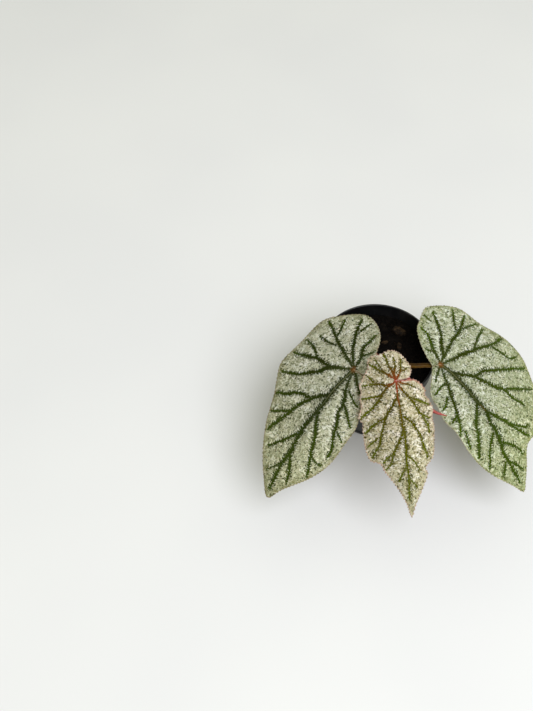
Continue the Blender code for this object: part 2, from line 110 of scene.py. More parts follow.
# Each leaf has its own flat frame in millimetres: u runs along the midrib from the point where
# the leafstalk joins, towards the tip, and w runs to the left of it. A vein is its full width
# where it is widest, and then the points that it passes.
LEAVES = {
    "left": dict(
        attach=(-21.2, -27.7, 96.0), heading=-131.6, slope=26.7, length=113.6,
        arch=8.0, side_drop=7.0, side_width=45.0,
        wave=1.7, waves=7, wave_start=0.4, tooth=0.8, grid=0.62, pucker=0.55, panel=5.0, painted_valley_shade=0.6,
        vein_share=0.49,
        outline=[(-0.25, 9), (-9, 12), (-20, 5.5), (-31, 0), (-39, -10), (-40.5, -23), (-29, -38),
                 (-18, -47), (1, -50), (24, -52), (40, -45), (60, -36), (88, -22.5), (104, -10.5),
                 (114, 0), (103, 7), (85, 19.5), (68, 26), (48, 28), (30, 26), (15, 20), (5, 13),
                 (0.25, 9)],
        midrib=(4.1, [(0, 0), (13, -2), (22, -3), (32, -3), (44, -4), (57, -5), (68, -4), (77, -3),
                      (88, -4), (99, -3), (107, -2)]),
        blush=[],
        veins=[(3.0, [(0, 0), (-6, -1), (-11, -2), (-17, -5), (-23, -5), (-31, -5)]),
               (2.1, [(-11, -2), (-16, 1), (-19, 3)]),
               (3.3, [(0, 0), (-11, -10), (-18, -14), (-25, -18), (-36, -22)]),
               (1.9, [(-28, -16), (-37, -14)]),
               (3.4, [(0, 0), (-6, -13), (-11, -24), (-15, -31), (-21, -41)]),
               (2.3, [(-15, -28), (-22, -30), (-29, -32)]),
               (2.2, [(-8, -24), (-7, -32), (-8, -40)]),
               (4.0, [(0, 0), (6, -12), (9, -17), (15, -21), (22, -29), (27, -36), (31, -46)]),
               (3.7, [(8, -19), (8, -29), (11, -38), (14, -49)]),
               (2.6, [(7, -30), (2, -38), (0, -47)]),
               (4.0, [(26, -4), (33, -11), (38, -14), (44, -18), (53, -21), (61, -24), (72, -28)]),
               (3.6, [(36, -16), (36, -20), (38, -26), (43, -32), (46, -40)]),
               (2.5, [(52, -22), (56, -28), (60, -34)]),
               (2.8, [(59, -3), (65, -8), (74, -14), (82, -21)]),
               (3.4, [(41, -2), (48, 1), (56, 6), (64, 9), (72, 12), (78, 15), (84, 17)]),
               (2.1, [(70, 12), (72, 17), (72, 21)]),
               (2.9, [(78, -2), (85, 2), (90, 5), (97, 7)]),
               (1.9, [(86, -4), (92, -8), (97, -12)]),
               (3.4, [(0, 0), (8, 2), (14, 4), (23, 8), (27, 10), (32, 10), (40, 14), (48, 17), (57, 21),
                      (64, 22)]),
               (2.6, [(26, 11), (31, 17), (37, 23)]),
               (1.8, [(45, 18), (49, 25)]),
               (2.5, [(0, 0), (3, 4), (7, 8), (12, 14)]),
               (1.9, [(15, 7), (20, 14), (22, 20)])]),
    "middle": dict(
        attach=(6.7, -46.4, 108.0), heading=-84.6, slope=35.9, length=98.9,
        arch=6.0, side_drop=5.0, side_width=28.0,
        wave=1.6, waves=10, wave_start=1.1, tooth=1.3, grid=0.5, pucker=1.15, panel=3.2, painted_valley_shade=0.0,
        vein_share=0.46,
        outline=[(-0.4, 5), (-1.0, 9.6), (-4.2, 11.8), (-8, 12.6), (-12, 11), (-18, 7), (-21.5, 2),
                 (-22, -3), (-20, -8.5), (-20, -13), (-17, -17.5), (-12, -18), (-7, -21.5), (-3, -24.5), (1, -26.5),
                 (5, -26), (11, -27), (16, -27), (23, -30), (28, -27.5), (33, -28), (38, -28.3),
                 (44, -28), (50, -27), (55, -25), (57.5, -19), (63, -16.5), (70, -12), (78, -7.5),
                 (88, -3.2), (99, 0), (90, 3.5), (81, 8.5), (72.5, 13.5), (68, 15), (64.5, 13.8),
                 (58, 19), (52, 21), (44, 22.8), (38, 23), (29, 23.3), (23, 24), (16, 22), (12, 19.8),
                 (9, 20.5), (3.5, 17), (0.4, 13), (0.0, 6)],
        midrib=(2.9, [(0, 0), (10.5, -0.5), (16.5, 0), (23, 0), (30, 0), (37.5, 1), (43.5, 1), (51.5, 0.5),
                      (60, 0), (64, 0.5), (70.5, 0.5), (77, 0), (86, -0.5)]),
        blush=[([(0, 0), (0.4, 6), (0.6, 13)], 0.8, 0.8),
               ([(0.6, 13), (3.6, 17), (9, 20.5), (12, 19.8)], 0.8, 0.55),
               ([(0, 0), (4, -0.3), (8, -0.5)], 0.55, 0.65),
               ([(8, -0.5), (12.5, -0.3), (17, 0)], 0.45, 0.35),
               ([(0, 0), (-1.6, 0.8), (-3, 1.8)], 0.6, 0.5)],
        veins=[(2.6, [(0, 0), (-2.5, -2), (-6, -6.5), (-9.5, -11.5), (-13.5, -17)]),
               (1.7, [(-8.5, -8.5), (-12.5, -10.5), (-17.5, -12.5)]),
               (2.5, [(0, 0), (-6.5, -1.5), (-11.5, -3.5), (-16, -4.5), (-19.5, -6)]),
               (2.3, [(0, 0), (-5.5, -0.5), (-10, 1), (-16, 1)]),
               (2.5, [(0, 0), (-4, 2.5), (-7.5, 4.5), (-15, 6)]),
               (1.8, [(-5.5, 4.5), (-8, 10)]),
               (2.5, [(0, 0), (2, -3), (2.5, -8), (1, -12), (1, -18.5), (1, -24)]),
               (1.8, [(-0.5, -16), (-3.5, -18), (-5.5, -20)]),
               (2.8, [(0, 0), (4, -6.5), (8.5, -11.5), (12.5, -14), (18, -19.5), (20.5, -23.5), (23.5, -28)]),
               (2.2, [(9.5, -12.5), (10, -19), (10.5, -25.5)]),
               (2.8, [(10.5, -0.5), (13, -2), (18, -5.5), (22, -9), (25.5, -11.5), (28, -17.5), (35, -26)]),
               (2.5, [(26.5, -11.5), (33, -14), (38.5, -16), (44.5, -17.5), (48, -20), (52.5, -23)]),
               (1.9, [(39.5, -18.5), (42, -22.5), (45, -26)]),
               (2.8, [(36.5, 0), (43, -3.5), (48, -6.5), (52, -9.5), (54, -13.5), (57, -16)]),
               (2.1, [(52.5, -9.5), (57, -10), (60, -12.5), (62, -15)]),
               (2.1, [(62, -1), (67, -4), (72, -6.5)]),
               (1.7, [(71, 1.5), (75, 4.5), (77.5, 6)]),
               (1.9, [(54.5, 2), (59, 6), (63, 8), (66, 10)]),
               (2.6, [(0, 0), (5.5, 2.5), (10, 5.5), (15.5, 9.5), (23, 13), (27.5, 16), (34, 18.5), (40, 19.5)]),
               (2.3, [(13, 9), (15.5, 14), (19.5, 21)]),
               (1.8, [(26, 16), (29.5, 21)]),
               (2.5, [(26, 2), (30.5, 7), (36, 10), (41.5, 12.5), (48, 13.5), (52.5, 15), (57, 16)]),
               (1.5, [(0, 0), (2, 3.5), (3.5, 8), (6, 13)])]),
    "right": dict(
        attach=(44.1, -22.4, 90.0), heading=-55.2, slope=27.5, length=112.6,
        arch=8.0, side_drop=7.0, side_width=42.0,
        wave=1.8, waves=7, wave_start=2.3, tooth=0.8, grid=0.62, pucker=0.55, panel=5.0, painted_valley_shade=0.6,
        vein_share=0.49,
        outline=[(-2.6, -5.8), (-11, -4), (-21, 0), (-31, 6.5), (-36, 14), (-41, 24), (-39.5, 31),
                 (-32, 43), (-24, 50.5), (-8, 56.5), (6, 64), (18, 67), (36, 67.5), (52, 63.5),
                 (66, 58), (77, 48), (83, 33), (87, 23), (97, 15), (107, 6), (112.6, 0), (104, -6),
                 (90, -15), (78, -19.5), (64, -21.5), (46, -23.2), (30, -24), (18, -22), (9, -17),
                 (2.5, -11), (-2.2, -6.1)],
        midrib=(4.0, [(0, 0), (9, 3), (18, 4), (27, 5), (35, 5), (41, 6), (47, 7), (55, 5), (64, 5), (72, 3),
                      (80, 1), (86, 1), (97, 1), (105, 1)]),
        blush=[([(41, 6), (46, 6.8)], 0.6, 0.18)],
        veins=[(2.8, [(0, 0), (-4, 2), (-11, 4), (-17, 7), (-24, 10), (-30, 10)]),
               (2.1, [(-10, 3), (-13, 1), (-16, 0)]),
               (3.2, [(0, 0), (-4, 7), (-11, 12), (-18, 18), (-26, 23), (-35, 27)]),
               (1.9, [(-36, 20), (-31, 20)]),
               (3.2, [(0, 0), (-4, 9), (-8, 18), (-12, 32), (-14, 38), (-19, 48)]),
               (2.5, [(-14, 32), (-19, 35), (-28, 43)]),
               (2.3, [(-12, 38), (-11, 44), (-9, 52)]),
               (3.6, [(0, 0), (2, 11), (3, 20), (5, 28), (6, 35), (9, 45), (11, 54), (11, 62)]),
               (2.6, [(5, 33), (1, 41), (-3, 54)]),
               (2.3, [(12, 49), (20, 53), (27, 56), (29, 63)]),
               (3.7, [(0, 0), (9, 3.6), (14, 8), (21, 16), (27, 20), (36, 26), (43, 32), (51, 34), (60, 40)]),
               (3.4, [(22, 19), (22, 26), (25, 32), (31, 45), (40, 63)]),
               (2.6, [(43, 34), (48, 43), (56, 57)]),
               (3.3, [(48, 8), (55, 12), (63, 17), (72, 22), (81, 28)]),
               (2.3, [(65, 19), (71, 25), (75, 31)]),
               (2.5, [(73, 5), (77, 9), (83, 14), (90, 16)]),
               (2.3, [(87, 1), (93, 6), (99, 9)]),
               (3.3, [(39, 4), (45, -1), (51, -6), (58, -9), (65, -13), (72, -17)]),
               (2.5, [(63, 2), (68, -4), (74, -9), (83, -15)]),
               (2.1, [(86, -1), (90, -5), (94, -9)]),
               (3.2, [(0, 0), (5, -2), (13, -5), (19, -7), (27, -10), (36, -13), (44, -17), (50, -21)]),
               (2.3, [(23, -12), (26, -16), (28, -21)]),
               (1.8, [(38, -15), (40, -20)]),
               (2.2, [(50, -16), (56, -17), (63, -19)]),
               (2.2, [(0, 0), (3, -4), (5, -8), (8, -12)]),
               (1.9, [(13, -7), (14, -12), (16, -17)])]),
}

# Leafstalks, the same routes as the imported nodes
STALK_RADIUS = {"left": 1.9 * MM, "middle": 1.5 * MM, "right": 2.0 * MM}
STALK_NODE = {"left": (0.66, -128.0), "middle": (0.94, -80.0), "right": (0.82, -20.0)}
STALK_ROUTE = {
    "left": [(-2.0, -17.5, 80.8), (-5.5, -23.5, 85.5), (-10.0, -28.5, 89.5)],
    "middle": [(9.5, -25.0, 89.8), (8.2, -32.0, 95.5)],
    "right": [(17.0, -18.6, 86.4), (23.0, -21.0, 87.8), (29.0, -21.3, 88.2), (34.0, -20.8, 87.6)],
}
STALK_APPROACH = {
    "left": [(-2.8, 6.4, 4.5), (-1.8, 4.0, 4.5), (-0.9, 2.0, 3.9), (-0.4, 0.8, 3.0), (0.0, 0.0, 2.0)],
    "middle": [(-2.4, 0.0, 8.0), (-1.0, 0.0, 5.0), (-0.3, 0.0, 2.8), (0.0, 0.0, 0.8)],
    "right": [(-4.2, -4.1, 4.4), (-2.8, -2.5, 4.5), (-1.5, -1.3, 3.9), (-0.7, -0.5, 3.0), (0.0, 0.0, 2.0)],
}
STALK_START = 3.0 * MM

# Young leaf and stipules
YOUNG_LEAF_ROUTE = [(11.5, -23.5, 98.0), (16.0, -33.0, 96.5), (23.5, -48.5, 91.5), (33.2, -60.4, 88.0),
                    (43.7, -64.5, 86.0)]
YOUNG_LEAF_RADIUS = 2.1 * MM
STIPULE_LENGTH = 10.0 * MM
STIPULE_WIDTH = 4.6 * MM
STIPULE_CLEARANCE = 1.0 * MM
STIPULES = [(0.50, 160.0, 60.0), (0.66, 170.0, 58.0), (0.82, 215.0, 55.0), (0.94, 205.0, 62.0)]


HORIZON_HEIGHT = 0.22
HORIZON_COLOUR = (1.5, 1.5, 1.46, 1.0)
SKY_COLOUR = (1.0, 1.0, 0.84, 1.0)
SKY_STRENGTH = 0.50
# Grey that painted shade multiplies into the leaves' colour
PAINTED_SHADE_GREY = (0.4, 0.4, 0.4, 1.0)
STRIPE_EDGES = (1.9, 2.7)


def srgb(red, green, blue):
    """A screen colour of 0 to 255 as the linear colour that a shader wants."""
    channels = []
    for value in (red, green, blue):
        share = value / 255.0
        channels.append(share / 12.92 if share <= 0.04045 else ((share + 0.055) / 1.055) ** 2.4)
    return (*channels, 1.0)


class Nodes:
    """Short calls for building one material's node tree."""

    def __init__(self, name):
        self.material = bpy.data.materials.new(name)
        self.material.use_nodes = True
        self.tree = self.material.node_tree
        self.shader = self.tree.nodes["Principled BSDF"]
        self.coordinates = self.tree.nodes.new("ShaderNodeTexCoord").outputs["Object"]

    def link(self, value, socket):
        if isinstance(value, bpy.types.NodeSocket):
            self.tree.links.new(value, socket)
        elif value is not None:
            socket.default_value = value

    def attribute(self, name):
        node = self.tree.nodes.new("ShaderNodeAttribute")
        node.attribute_name = name
        return node.outputs["Fac"]

    def scaled(self, factors):
        node = self.tree.nodes.new("ShaderNodeMapping")
        node.inputs["Scale"].default_value = factors
        self.link(self.coordinates, node.inputs["Vector"])
        return node.outputs["Vector"]

    def plane(self, first, second):
        """A flat coordinate made from two numbers, for noise."""
        node = self.tree.nodes.new("ShaderNodeCombineXYZ")
        self.link(first, node.inputs[0])
        self.link(second, node.inputs[1])
        return node.outputs[0]

    def noise(self, size, detail=3.0, roughness=0.55, distortion=0.0, vector=None):
        """Noise whose lumps are about size across, in the vector's own units."""
        node = self.tree.nodes.new("ShaderNodeTexNoise")
        node.inputs["Scale"].default_value = 1.0 / size
        node.inputs["Detail"].default_value = detail
        node.inputs["Roughness"].default_value = roughness
        node.inputs["Distortion"].default_value = distortion
        self.link(vector or self.coordinates, node.inputs["Vector"])
        return node.outputs["Fac"]

    def voronoi(self, size, feature="F1", vector=None):
        node = self.tree.nodes.new("ShaderNodeTexVoronoi")
        node.feature = feature
        node.inputs["Scale"].default_value = 1.0 / size
        self.link(vector or self.coordinates, node.inputs["Vector"])
        return node.outputs["Distance"]

    def math(self, operation, first, second=0.0, third=None):
        node = self.tree.nodes.new("ShaderNodeMath")
        node.operation = operation
        self.link(first, node.inputs[0])
        self.link(second, node.inputs[1])
        self.link(third, node.inputs[2])
        return node.outputs[0]

    def fade(self, value, start, end, low=0.0, high=1.0):
        """A smooth step from low at start to high at end."""
        node = self.tree.nodes.new("ShaderNodeMapRange")
        node.interpolation_type = "SMOOTHSTEP"
        for socket, number in zip(("From Min", "From Max", "To Min", "To Max"), (start, end, low, high)):
            node.inputs[socket].default_value = number
        self.link(value, node.inputs["Value"])
        return node.outputs["Result"]

    def mix(self, share, first, second, blend="MIX"):
        node = self.tree.nodes.new("ShaderNodeMix")
        node.data_type = "RGBA"
        node.blend_type = blend
        self.link(share, node.inputs["Factor"])
        self.link(first, node.inputs["A"])
        self.link(second, node.inputs["B"])
        return node.outputs["Result"]

    def bump(self, height, distance, strength=1.0, under=None):
        node = self.tree.nodes.new("ShaderNodeBump")
        node.inputs["Distance"].default_value = distance
        node.inputs["Strength"].default_value = strength
        self.link(height, node.inputs["Height"])
        self.link(under, node.inputs["Normal"])
        return node.outputs["Normal"]

    def finish(self, colour, roughness, normal=None, **shader_values):
        self.link(colour, self.shader.inputs["Base Color"])
        self.link(roughness, self.shader.inputs["Roughness"])
        self.link(normal, self.shader.inputs["Normal"])
        for name, value in shader_values.items():
            self.shader.inputs[name.replace("_", " ")].default_value = value
        return self.material


def leaf_top_material(name, silver, shade, gap, painted_highlight, dull, tint, vein_near, vein_dark, vein_bright, speck, rib,
                      centre, centre_reach, margin_line, speck_limit, dab_size, painted_side_shade, far_edge):
    """Silver strokes that feather away from the veins, ragged green bands, a coloured margin and centre, painted
    highlights, and painted shade over one half and beside the midrib.
    """
    nodes = Nodes(name)
    vein = nodes.attribute("vein")
    away = nodes.attribute("away")
    run = nodes.attribute("run")
    edge = nodes.attribute("edge")
    middle = nodes.attribute("middle")
    ridge = nodes.attribute("ridge")
    blush = nodes.attribute("blush")
    across = nodes.attribute("across")
    painted_valley_shade = nodes.attribute("painted_valley_shade")
    slanted = nodes.math("MULTIPLY_ADD", away, 0.5, run)
    feather = nodes.plane(slanted, nodes.math("MULTIPLY", away, 0.45))
    along = nodes.plane(run, 0.0)

    broad = nodes.noise(9 * MM, 2.0)
    dabs = nodes.noise(dab_size, 3.0, 0.6, 1.2)
    flecks = nodes.noise(1.3 * MM, 2.0, 0.5, 1.0)
    strokes = nodes.noise(1.5, 3.0, 0.6, 0.5, feather)
    swing = nodes.noise(5.0, 1.0, 0.5, 0.0, along)
    jitter = nodes.math("MULTIPLY_ADD", nodes.noise(3.0, 1.0, 0.5, 0.0, along), 3.0, slanted)
    teeth = nodes.math("PINGPONG", jitter, 0.9)

    grain = nodes.mix(nodes.fade(away, 2.0, 6.5), strokes, dabs)
    tone = nodes.mix(nodes.fade(grain, 0.34, 0.46), gap, shade)
    tone = nodes.mix(nodes.fade(grain, 0.45, 0.60), tone, silver)
    panel = nodes.math("MULTIPLY_ADD", away, 0.035, broad)
    tone = nodes.mix(nodes.fade(panel, 0.44, 0.74, 0.0, 0.48), tone, shade)
    # Painted highlight: in a few spots the silver is lightened to a near-white colour, standing in for sparkles of
    # light on the gloss.
    painted_highlight_spots = nodes.math("MULTIPLY", nodes.fade(nodes.noise(6 * MM, 2.0), 0.50, 0.66), nodes.fade(grain, 0.44, 0.56))
    tone = nodes.mix(nodes.math("MULTIPLY", painted_highlight_spots, 0.7), tone, painted_highlight)
    near_edge = nodes.fade(nodes.math("ADD", edge, nodes.math("MULTIPLY", broad, 9.0)), 4.0, 11.0, 0.7, 0.0)
    near_edge = nodes.math("MULTIPLY", near_edge, nodes.fade(across, -14.0, 6.0, far_edge, 1.0))
    tone = nodes.mix(nodes.math("MULTIPLY", near_edge, nodes.fade(grain, 0.48, 0.60, 1.0, 0.35)), tone, dull)
    limit = nodes.math("SUBTRACT", speck_limit, nodes.fade(vein, 1.0, 2.8, 0.06, 0.0))
    tone = nodes.mix(nodes.fade(nodes.math("SUBTRACT", flecks, limit), -0.01, 0.02, 0.0, 0.95), tone, speck)

    ragged = nodes.math("MULTIPLY_ADD", teeth, 1.15, -0.52)
    ragged = nodes.math("ADD", ragged, nodes.math("MULTIPLY_ADD", dabs, 1.6, -0.8))
    ragged = nodes.math("ADD", ragged, nodes.math("MULTIPLY_ADD", swing, 1.4, -0.7))
    band = nodes.fade(nodes.math("ADD", vein, ragged), 0.84, 1.04, 1.0, 0.0)
    bright = nodes.math("MAXIMUM", nodes.fade(middle, 20.0, 75.0, 0.0, 0.7), nodes.fade(edge, 3.0, 14.0, 0.9, 0.0))
    vein_tone = nodes.mix(bright, vein_dark, vein_bright)
    vein_tone = nodes.mix(nodes.fade(middle, 6.0, 24.0, 0.8, 0.0), vein_tone, vein_near)
    vein_tone = nodes.mix(nodes.fade(flecks, 0.40, 0.60, 0.0, 0.35), vein_tone, vein_dark)
    colour = nodes.mix(band, tone, vein_tone)
    colour = nodes.mix(nodes.fade(middle, 30.0, 95.0), colour, tint, "MULTIPLY")
    # Painted shade: the half of the blade on one side of the midrib is darkened, standing in for the side that tilts
    # away from the light.
    colour = nodes.mix(nodes.fade(across, -7.0, 6.0, painted_side_shade, 0.0), colour, PAINTED_SHADE_GREY, "MULTIPLY")
    # Painted shade beside the midrib near the base, standing in for the shade in the midrib's valley.
    colour = nodes.mix(painted_valley_shade, colour, PAINTED_SHADE_GREY, "MULTIPLY")

    # Along the raised midrib near the base: partly the rib's own paler colour, partly a painted highlight standing
    # in for light on the ridge's lit side.
    rib_colour_and_painted_highlight = nodes.math("MULTIPLY", nodes.fade(ridge, 0.45, 0.85), nodes.fade(middle, 14.0, 60.0, 0.6, 0.0))
    colour = nodes.mix(rib_colour_and_painted_highlight, colour, rib)
    wander = nodes.math("MULTIPLY_ADD", dabs, 2.4, -1.2)
    spot = nodes.fade(nodes.math("ADD", middle, wander), 0.6, 1.7, 0.9, 0.0)
    arms = nodes.math("MULTIPLY", band, nodes.fade(middle, 1.2, centre_reach, 0.44, 0.0))
    colour = nodes.mix(nodes.math("MAXIMUM", nodes.math("MAXIMUM", spot, arms), blush), colour, centre)
    line = nodes.fade(nodes.math("ADD", edge, nodes.math("MULTIPLY_ADD", flecks, 1.6, -0.8)), 0.1, 0.6, 0.7, 0.0)
    colour = nodes.mix(line, colour, margin_line)

    roughness = nodes.math("MULTIPLY_ADD", band, 0.10, 0.33)
    roughness = nodes.math("ADD", roughness, nodes.math("MULTIPLY_ADD", dabs, 0.2, -0.1))
    normal = nodes.bump(nodes.noise(0.9 * MM, 3.0, 0.6), 0.22 * MM, 0.6)
    normal = nodes.bump(grain, 0.5 * MM, 0.7, normal)
    return nodes.finish(colour, roughness, normal, Specular_IOR_Level=0.07, Subsurface_Weight=0.06,
                        Subsurface_Scale=0.002)


def leaf_under_material(name, tone, vein_tone):
    """The underside: plain, with raised paler veins."""
    nodes = Nodes(name)
    vein = nodes.attribute("vein")
    mottle = nodes.noise(3 * MM, 4.0)
    colour = nodes.mix(nodes.fade(mottle, 0.35, 0.7), tone, [0.72 * part for part in tone[:3]] + [1.0])
    colour = nodes.mix(nodes.fade(vein, 0.3, 0.9, 0.9, 0.0), colour, vein_tone)
    normal = nodes.bump(nodes.noise(0.8 * MM, 3.0), 0.2 * MM, 0.6)
    return nodes.finish(colour, nodes.fade(mottle, 0.2, 0.8, 0.42, 0.58), normal, Subsurface_Weight=0.08,
                        Subsurface_Scale=0.002)


def stem_material(name, tone, streak, fleck, roughness=0.42, stripe=None):
    """Smooth stem skin with long streaks, small flecks and a darker stripe along its upper side."""
    nodes = Nodes(name)
    around = nodes.attribute("around")
    along = nodes.attribute("along")
    skin = nodes.plane(nodes.math("MULTIPLY", around, 2.2), nodes.math("MULTIPLY", along, 0.12))
    streaks = nodes.noise(1.0, 4.0, 0.6, 0.0, skin)
    mottle = nodes.noise(2.2 * MM, 3.0)
    specks = nodes.noise(0.5 * MM, 2.0)
    colour = nodes.mix(nodes.fade(streaks, 0.42, 0.62), tone, streak)
    colour = nodes.mix(nodes.fade(mottle, 0.4, 0.75, 0.0, 0.5), colour, streak)
    colour = nodes.mix(nodes.fade(specks, 0.60, 0.68, 0.0, 0.7), colour, fleck)
    upper = nodes.math("ADD", around, nodes.math("MULTIPLY_ADD", streaks, 1.2, -0.6))
    colour = nodes.mix(nodes.fade(upper, *STRIPE_EDGES, 0.0, 0.8), colour, stripe or streak)
    normal = nodes.bump(streaks, 0.12 * MM, 0.6)
    normal = nodes.bump(specks, 0.06 * MM, 0.5, normal)
    return nodes.finish(colour, nodes.fade(mottle, 0.2, 0.8, roughness - 0.06, roughness + 0.1), normal,
                        Specular_IOR_Level=0.14, Subsurface_Weight=0.06, Subsurface_Scale=0.001)


def pot_material():
    """Moulded black plastic: faint grain, patches of dust and fine vertical scuffs."""
    nodes = Nodes("black pot plastic")
    grain = nodes.noise(0.5 * MM, 3.0)
    cloud = nodes.noise(16 * MM, 4.0, 0.6)
    scuffs = nodes.noise(1.0, 5.0, 0.6, 0.2, nodes.scaled((900, 900, 60)))
    dust = nodes.math("MULTIPLY", nodes.fade(cloud, 0.42, 0.72), nodes.fade(grain, 0.35, 0.7))
    colour = nodes.mix(nodes.math("MULTIPLY", dust, 0.35), srgb(15, 15, 16), srgb(62, 59, 54))
    colour = nodes.mix(nodes.fade(scuffs, 0.62, 0.72, 0.0, 0.25), colour, srgb(72, 72, 72))
    normal = nodes.bump(grain, 0.05 * MM, 0.5)
    normal = nodes.bump(cloud, 0.4 * MM, 0.25, normal)
    return nodes.finish(colour, nodes.fade(cloud, 0.25, 0.75, 0.34, 0.52), normal, Specular_IOR_Level=0.5)


def soil_material(name, dark, light, fibre):
    """Damp peat: dark crumbs with lighter fibres."""
    nodes = Nodes(name)
    lumps = nodes.noise(2.5 * MM, 6.0, 0.65)
    grains = nodes.noise(0.7 * MM, 4.0, 0.6)
    strands = nodes.noise(1.0, 3.0, 0.5, 1.5, nodes.scaled((260, 1500, 700)))
    colour = nodes.mix(nodes.fade(lumps, 0.35, 0.7), dark, light)
    colour = nodes.mix(nodes.fade(strands, 0.64, 0.70, 0.0, 0.8), colour, fibre)
    normal = nodes.bump(grains, 0.5 * MM, 0.9)
    normal = nodes.bump(lumps, 1.0 * MM, 0.7, normal)
    return nodes.finish(colour, nodes.fade(grains, 0.3, 0.7, 0.72, 0.98), normal, Specular_IOR_Level=0.06)


def bark_material():
    """Chips of bark with grain and a few pale splits."""
    nodes = Nodes("bark chips")
    grain = nodes.noise(1.0, 5.0, 0.6, 0.6, nodes.scaled((350, 1600, 900)))
    patch = nodes.noise(4.5 * MM, 3.0)
    colour = nodes.mix(nodes.fade(grain, 0.35, 0.65), srgb(20, 14, 8), srgb(72, 54, 32))
    colour = nodes.mix(nodes.fade(patch, 0.40, 0.60, 0.0, 0.85), colour, srgb(14, 10, 7))
    normal = nodes.bump(grain, 0.5 * MM, 0.8)
    return nodes.finish(colour, nodes.fade(grain, 0.3, 0.7, 0.7, 0.92), normal, Specular_IOR_Level=0.12)


def floor_material():
    nodes = Nodes("pale floor")
    cloud = nodes.noise(0.25, 2.0)
    colour = nodes.mix(nodes.fade(cloud, 0.3, 0.7), srgb(233, 234, 233), srgb(229, 230, 230))
    return nodes.finish(colour, 0.62, None, Specular_IOR_Level=0.2)


def smooth_route(points, pieces):
    """Points along a Catmull-Rom curve through the given ones."""
    knots = [Vector(point) for point in points]
    knots = [2 * knots[0] - knots[1]] + knots + [2 * knots[-1] - knots[-2]]
    route = []
    for before, start, end, after in zip(knots, knots[1:], knots[2:], knots[3:]):
        for step in range(pieces):
            t = step / pieces
            route.append(0.5 * (2 * start + (end - before) * t
                                + (2 * before - 5 * start + 4 * end - after) * t ** 2
                                + (3 * start - before - 3 * end + after) * t ** 3))
    route.append(knots[-2])
    return route


def gentle_route(points, pieces):
    """Points along a cubic B-spline, which rounds each bend off, from the first point to the last."""
    knots = [2 * points[0] - points[1]] + points + [2 * points[-1] - points[-2]]
    route = []
    for before, start, end, after in zip(knots, knots[1:], knots[2:], knots[3:]):
        for step in range(pieces):
            t = step / pieces
            route.append(((1 - t) ** 3 * before + (3 * t ** 3 - 6 * t ** 2 + 4) * start
                          + (3 * t + 3 * t ** 2 - 3 * t ** 3 + 1) * end + t ** 3 * after) / 6)
    route.append(points[-1])
    return route


def smooth_line(points, pieces):
    """The same curve for points in millimetres on a leaf's flat frame, as an array in metres."""
    return np.array([(place.x, place.y) for place in smooth_route([(*point, 0.0) for point in points], pieces)]) * MM


def smooth_step(value):
    value = np.clip(value, 0.0, 1.0)
    return value * value * (3.0 - 2.0 * value)


def add_piece(name, mesh, materials, replaced=()):
    """An object that rides the plant's one body, with its finish and the nodes that it stands for."""
    thing = bpy.data.objects.new(name, mesh)
    bpy.context.scene.collection.objects.link(thing)
    for material in materials:
        mesh.materials.append(material)
    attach(thing, BODY)
    if replaced:
        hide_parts(*replaced)
    return thing


def mesh_from(name, places, faces):
    mesh = bpy.data.meshes.new(name)
    mesh.from_pydata([tuple(place) for place in places], [], [tuple(face) for face in faces])
    mesh.update()
    return mesh


def add_attribute(mesh, name, values):
    layer = mesh.attributes.new(name, "FLOAT", "POINT")
    layer.data.foreach_set("value", np.asarray(values, dtype=np.float32))


def distance_to_run(points, start, end):
    """Distance from each point to one straight run, and how far along it the nearest place is."""
    run = end - start
    share = np.clip((points - start) @ run / (run @ run), 0.0, 1.0)
    offset = points - start - share[:, None] * run
    return np.hypot(offset[:, 0], offset[:, 1]), share


def distance_to_line(points, line):
    """Distance from each point to a closed line."""
    nearest = np.full(len(points), np.inf)
    for start, end in zip(line, np.roll(line, -1, axis=0)):
        nearest = np.minimum(nearest, distance_to_run(points, start, end)[0])
    return nearest


def inside_line(points, line):
    """Which points lie inside a closed line."""
    inside = np.zeros(len(points), bool)
    for start, end in zip(line, np.roll(line, -1, axis=0)):
        crosses = (start[1] > points[:, 1]) != (end[1] > points[:, 1])
        rise = end[1] - start[1] if end[1] != start[1] else 1.0
        left = points[:, 0] < (end[0] - start[0]) * (points[:, 1] - start[1]) / rise + start[0]
        inside ^= crosses & left
    return inside


def margin(leaf, seed):
    """The leaf's outline in metres, evenly spaced and cut into small uneven teeth."""
    line = smooth_line(leaf["outline"], 12)
    walked = np.concatenate([[0.0], np.cumsum(np.hypot(*np.diff(line, axis=0).T))])
    count = int(walked[-1] / MARGIN_STEP)
    places = np.linspace(0.0, walked[-1], count + 1)
    edge = np.column_stack([np.interp(places, walked, line[:, axis]) for axis in (0, 1)])
    tangent = np.gradient(edge, axis=0)
    tangent /= np.linalg.norm(tangent, axis=1)[:, None]
    outward = np.column_stack([-tangent[:, 1], tangent[:, 0]])
    if np.sum(outward * edge) < 0:
        outward = -outward
    draw = random.Random(seed)
    cuts = [0.0]
    while cuts[-1] < walked[-1]:
        cuts.append(cuts[-1] + draw.uniform(1.5, 3.4) * MM)
    sizes = [draw.uniform(0.5, 1.0) * leaf["tooth"] * MM for _ in cuts]
    number = np.searchsorted(cuts, places, side="right") - 1
    share = (places - np.array(cuts)[number]) / (np.array(cuts + [cuts[-1] + 3 * MM])[number + 1] - np.array(cuts)[number])
    tooth = np.where(share < 0.72, share / 0.72, (1.0 - share) / 0.28)
    calm = smooth_step(np.minimum(places, walked[-1] - places) / (6 * MM))
    offset = (tooth - 0.5) * np.array(sizes)[number] * calm
    return np.vstack([[0.0, 0.0], edge + outward * offset[:, None]])


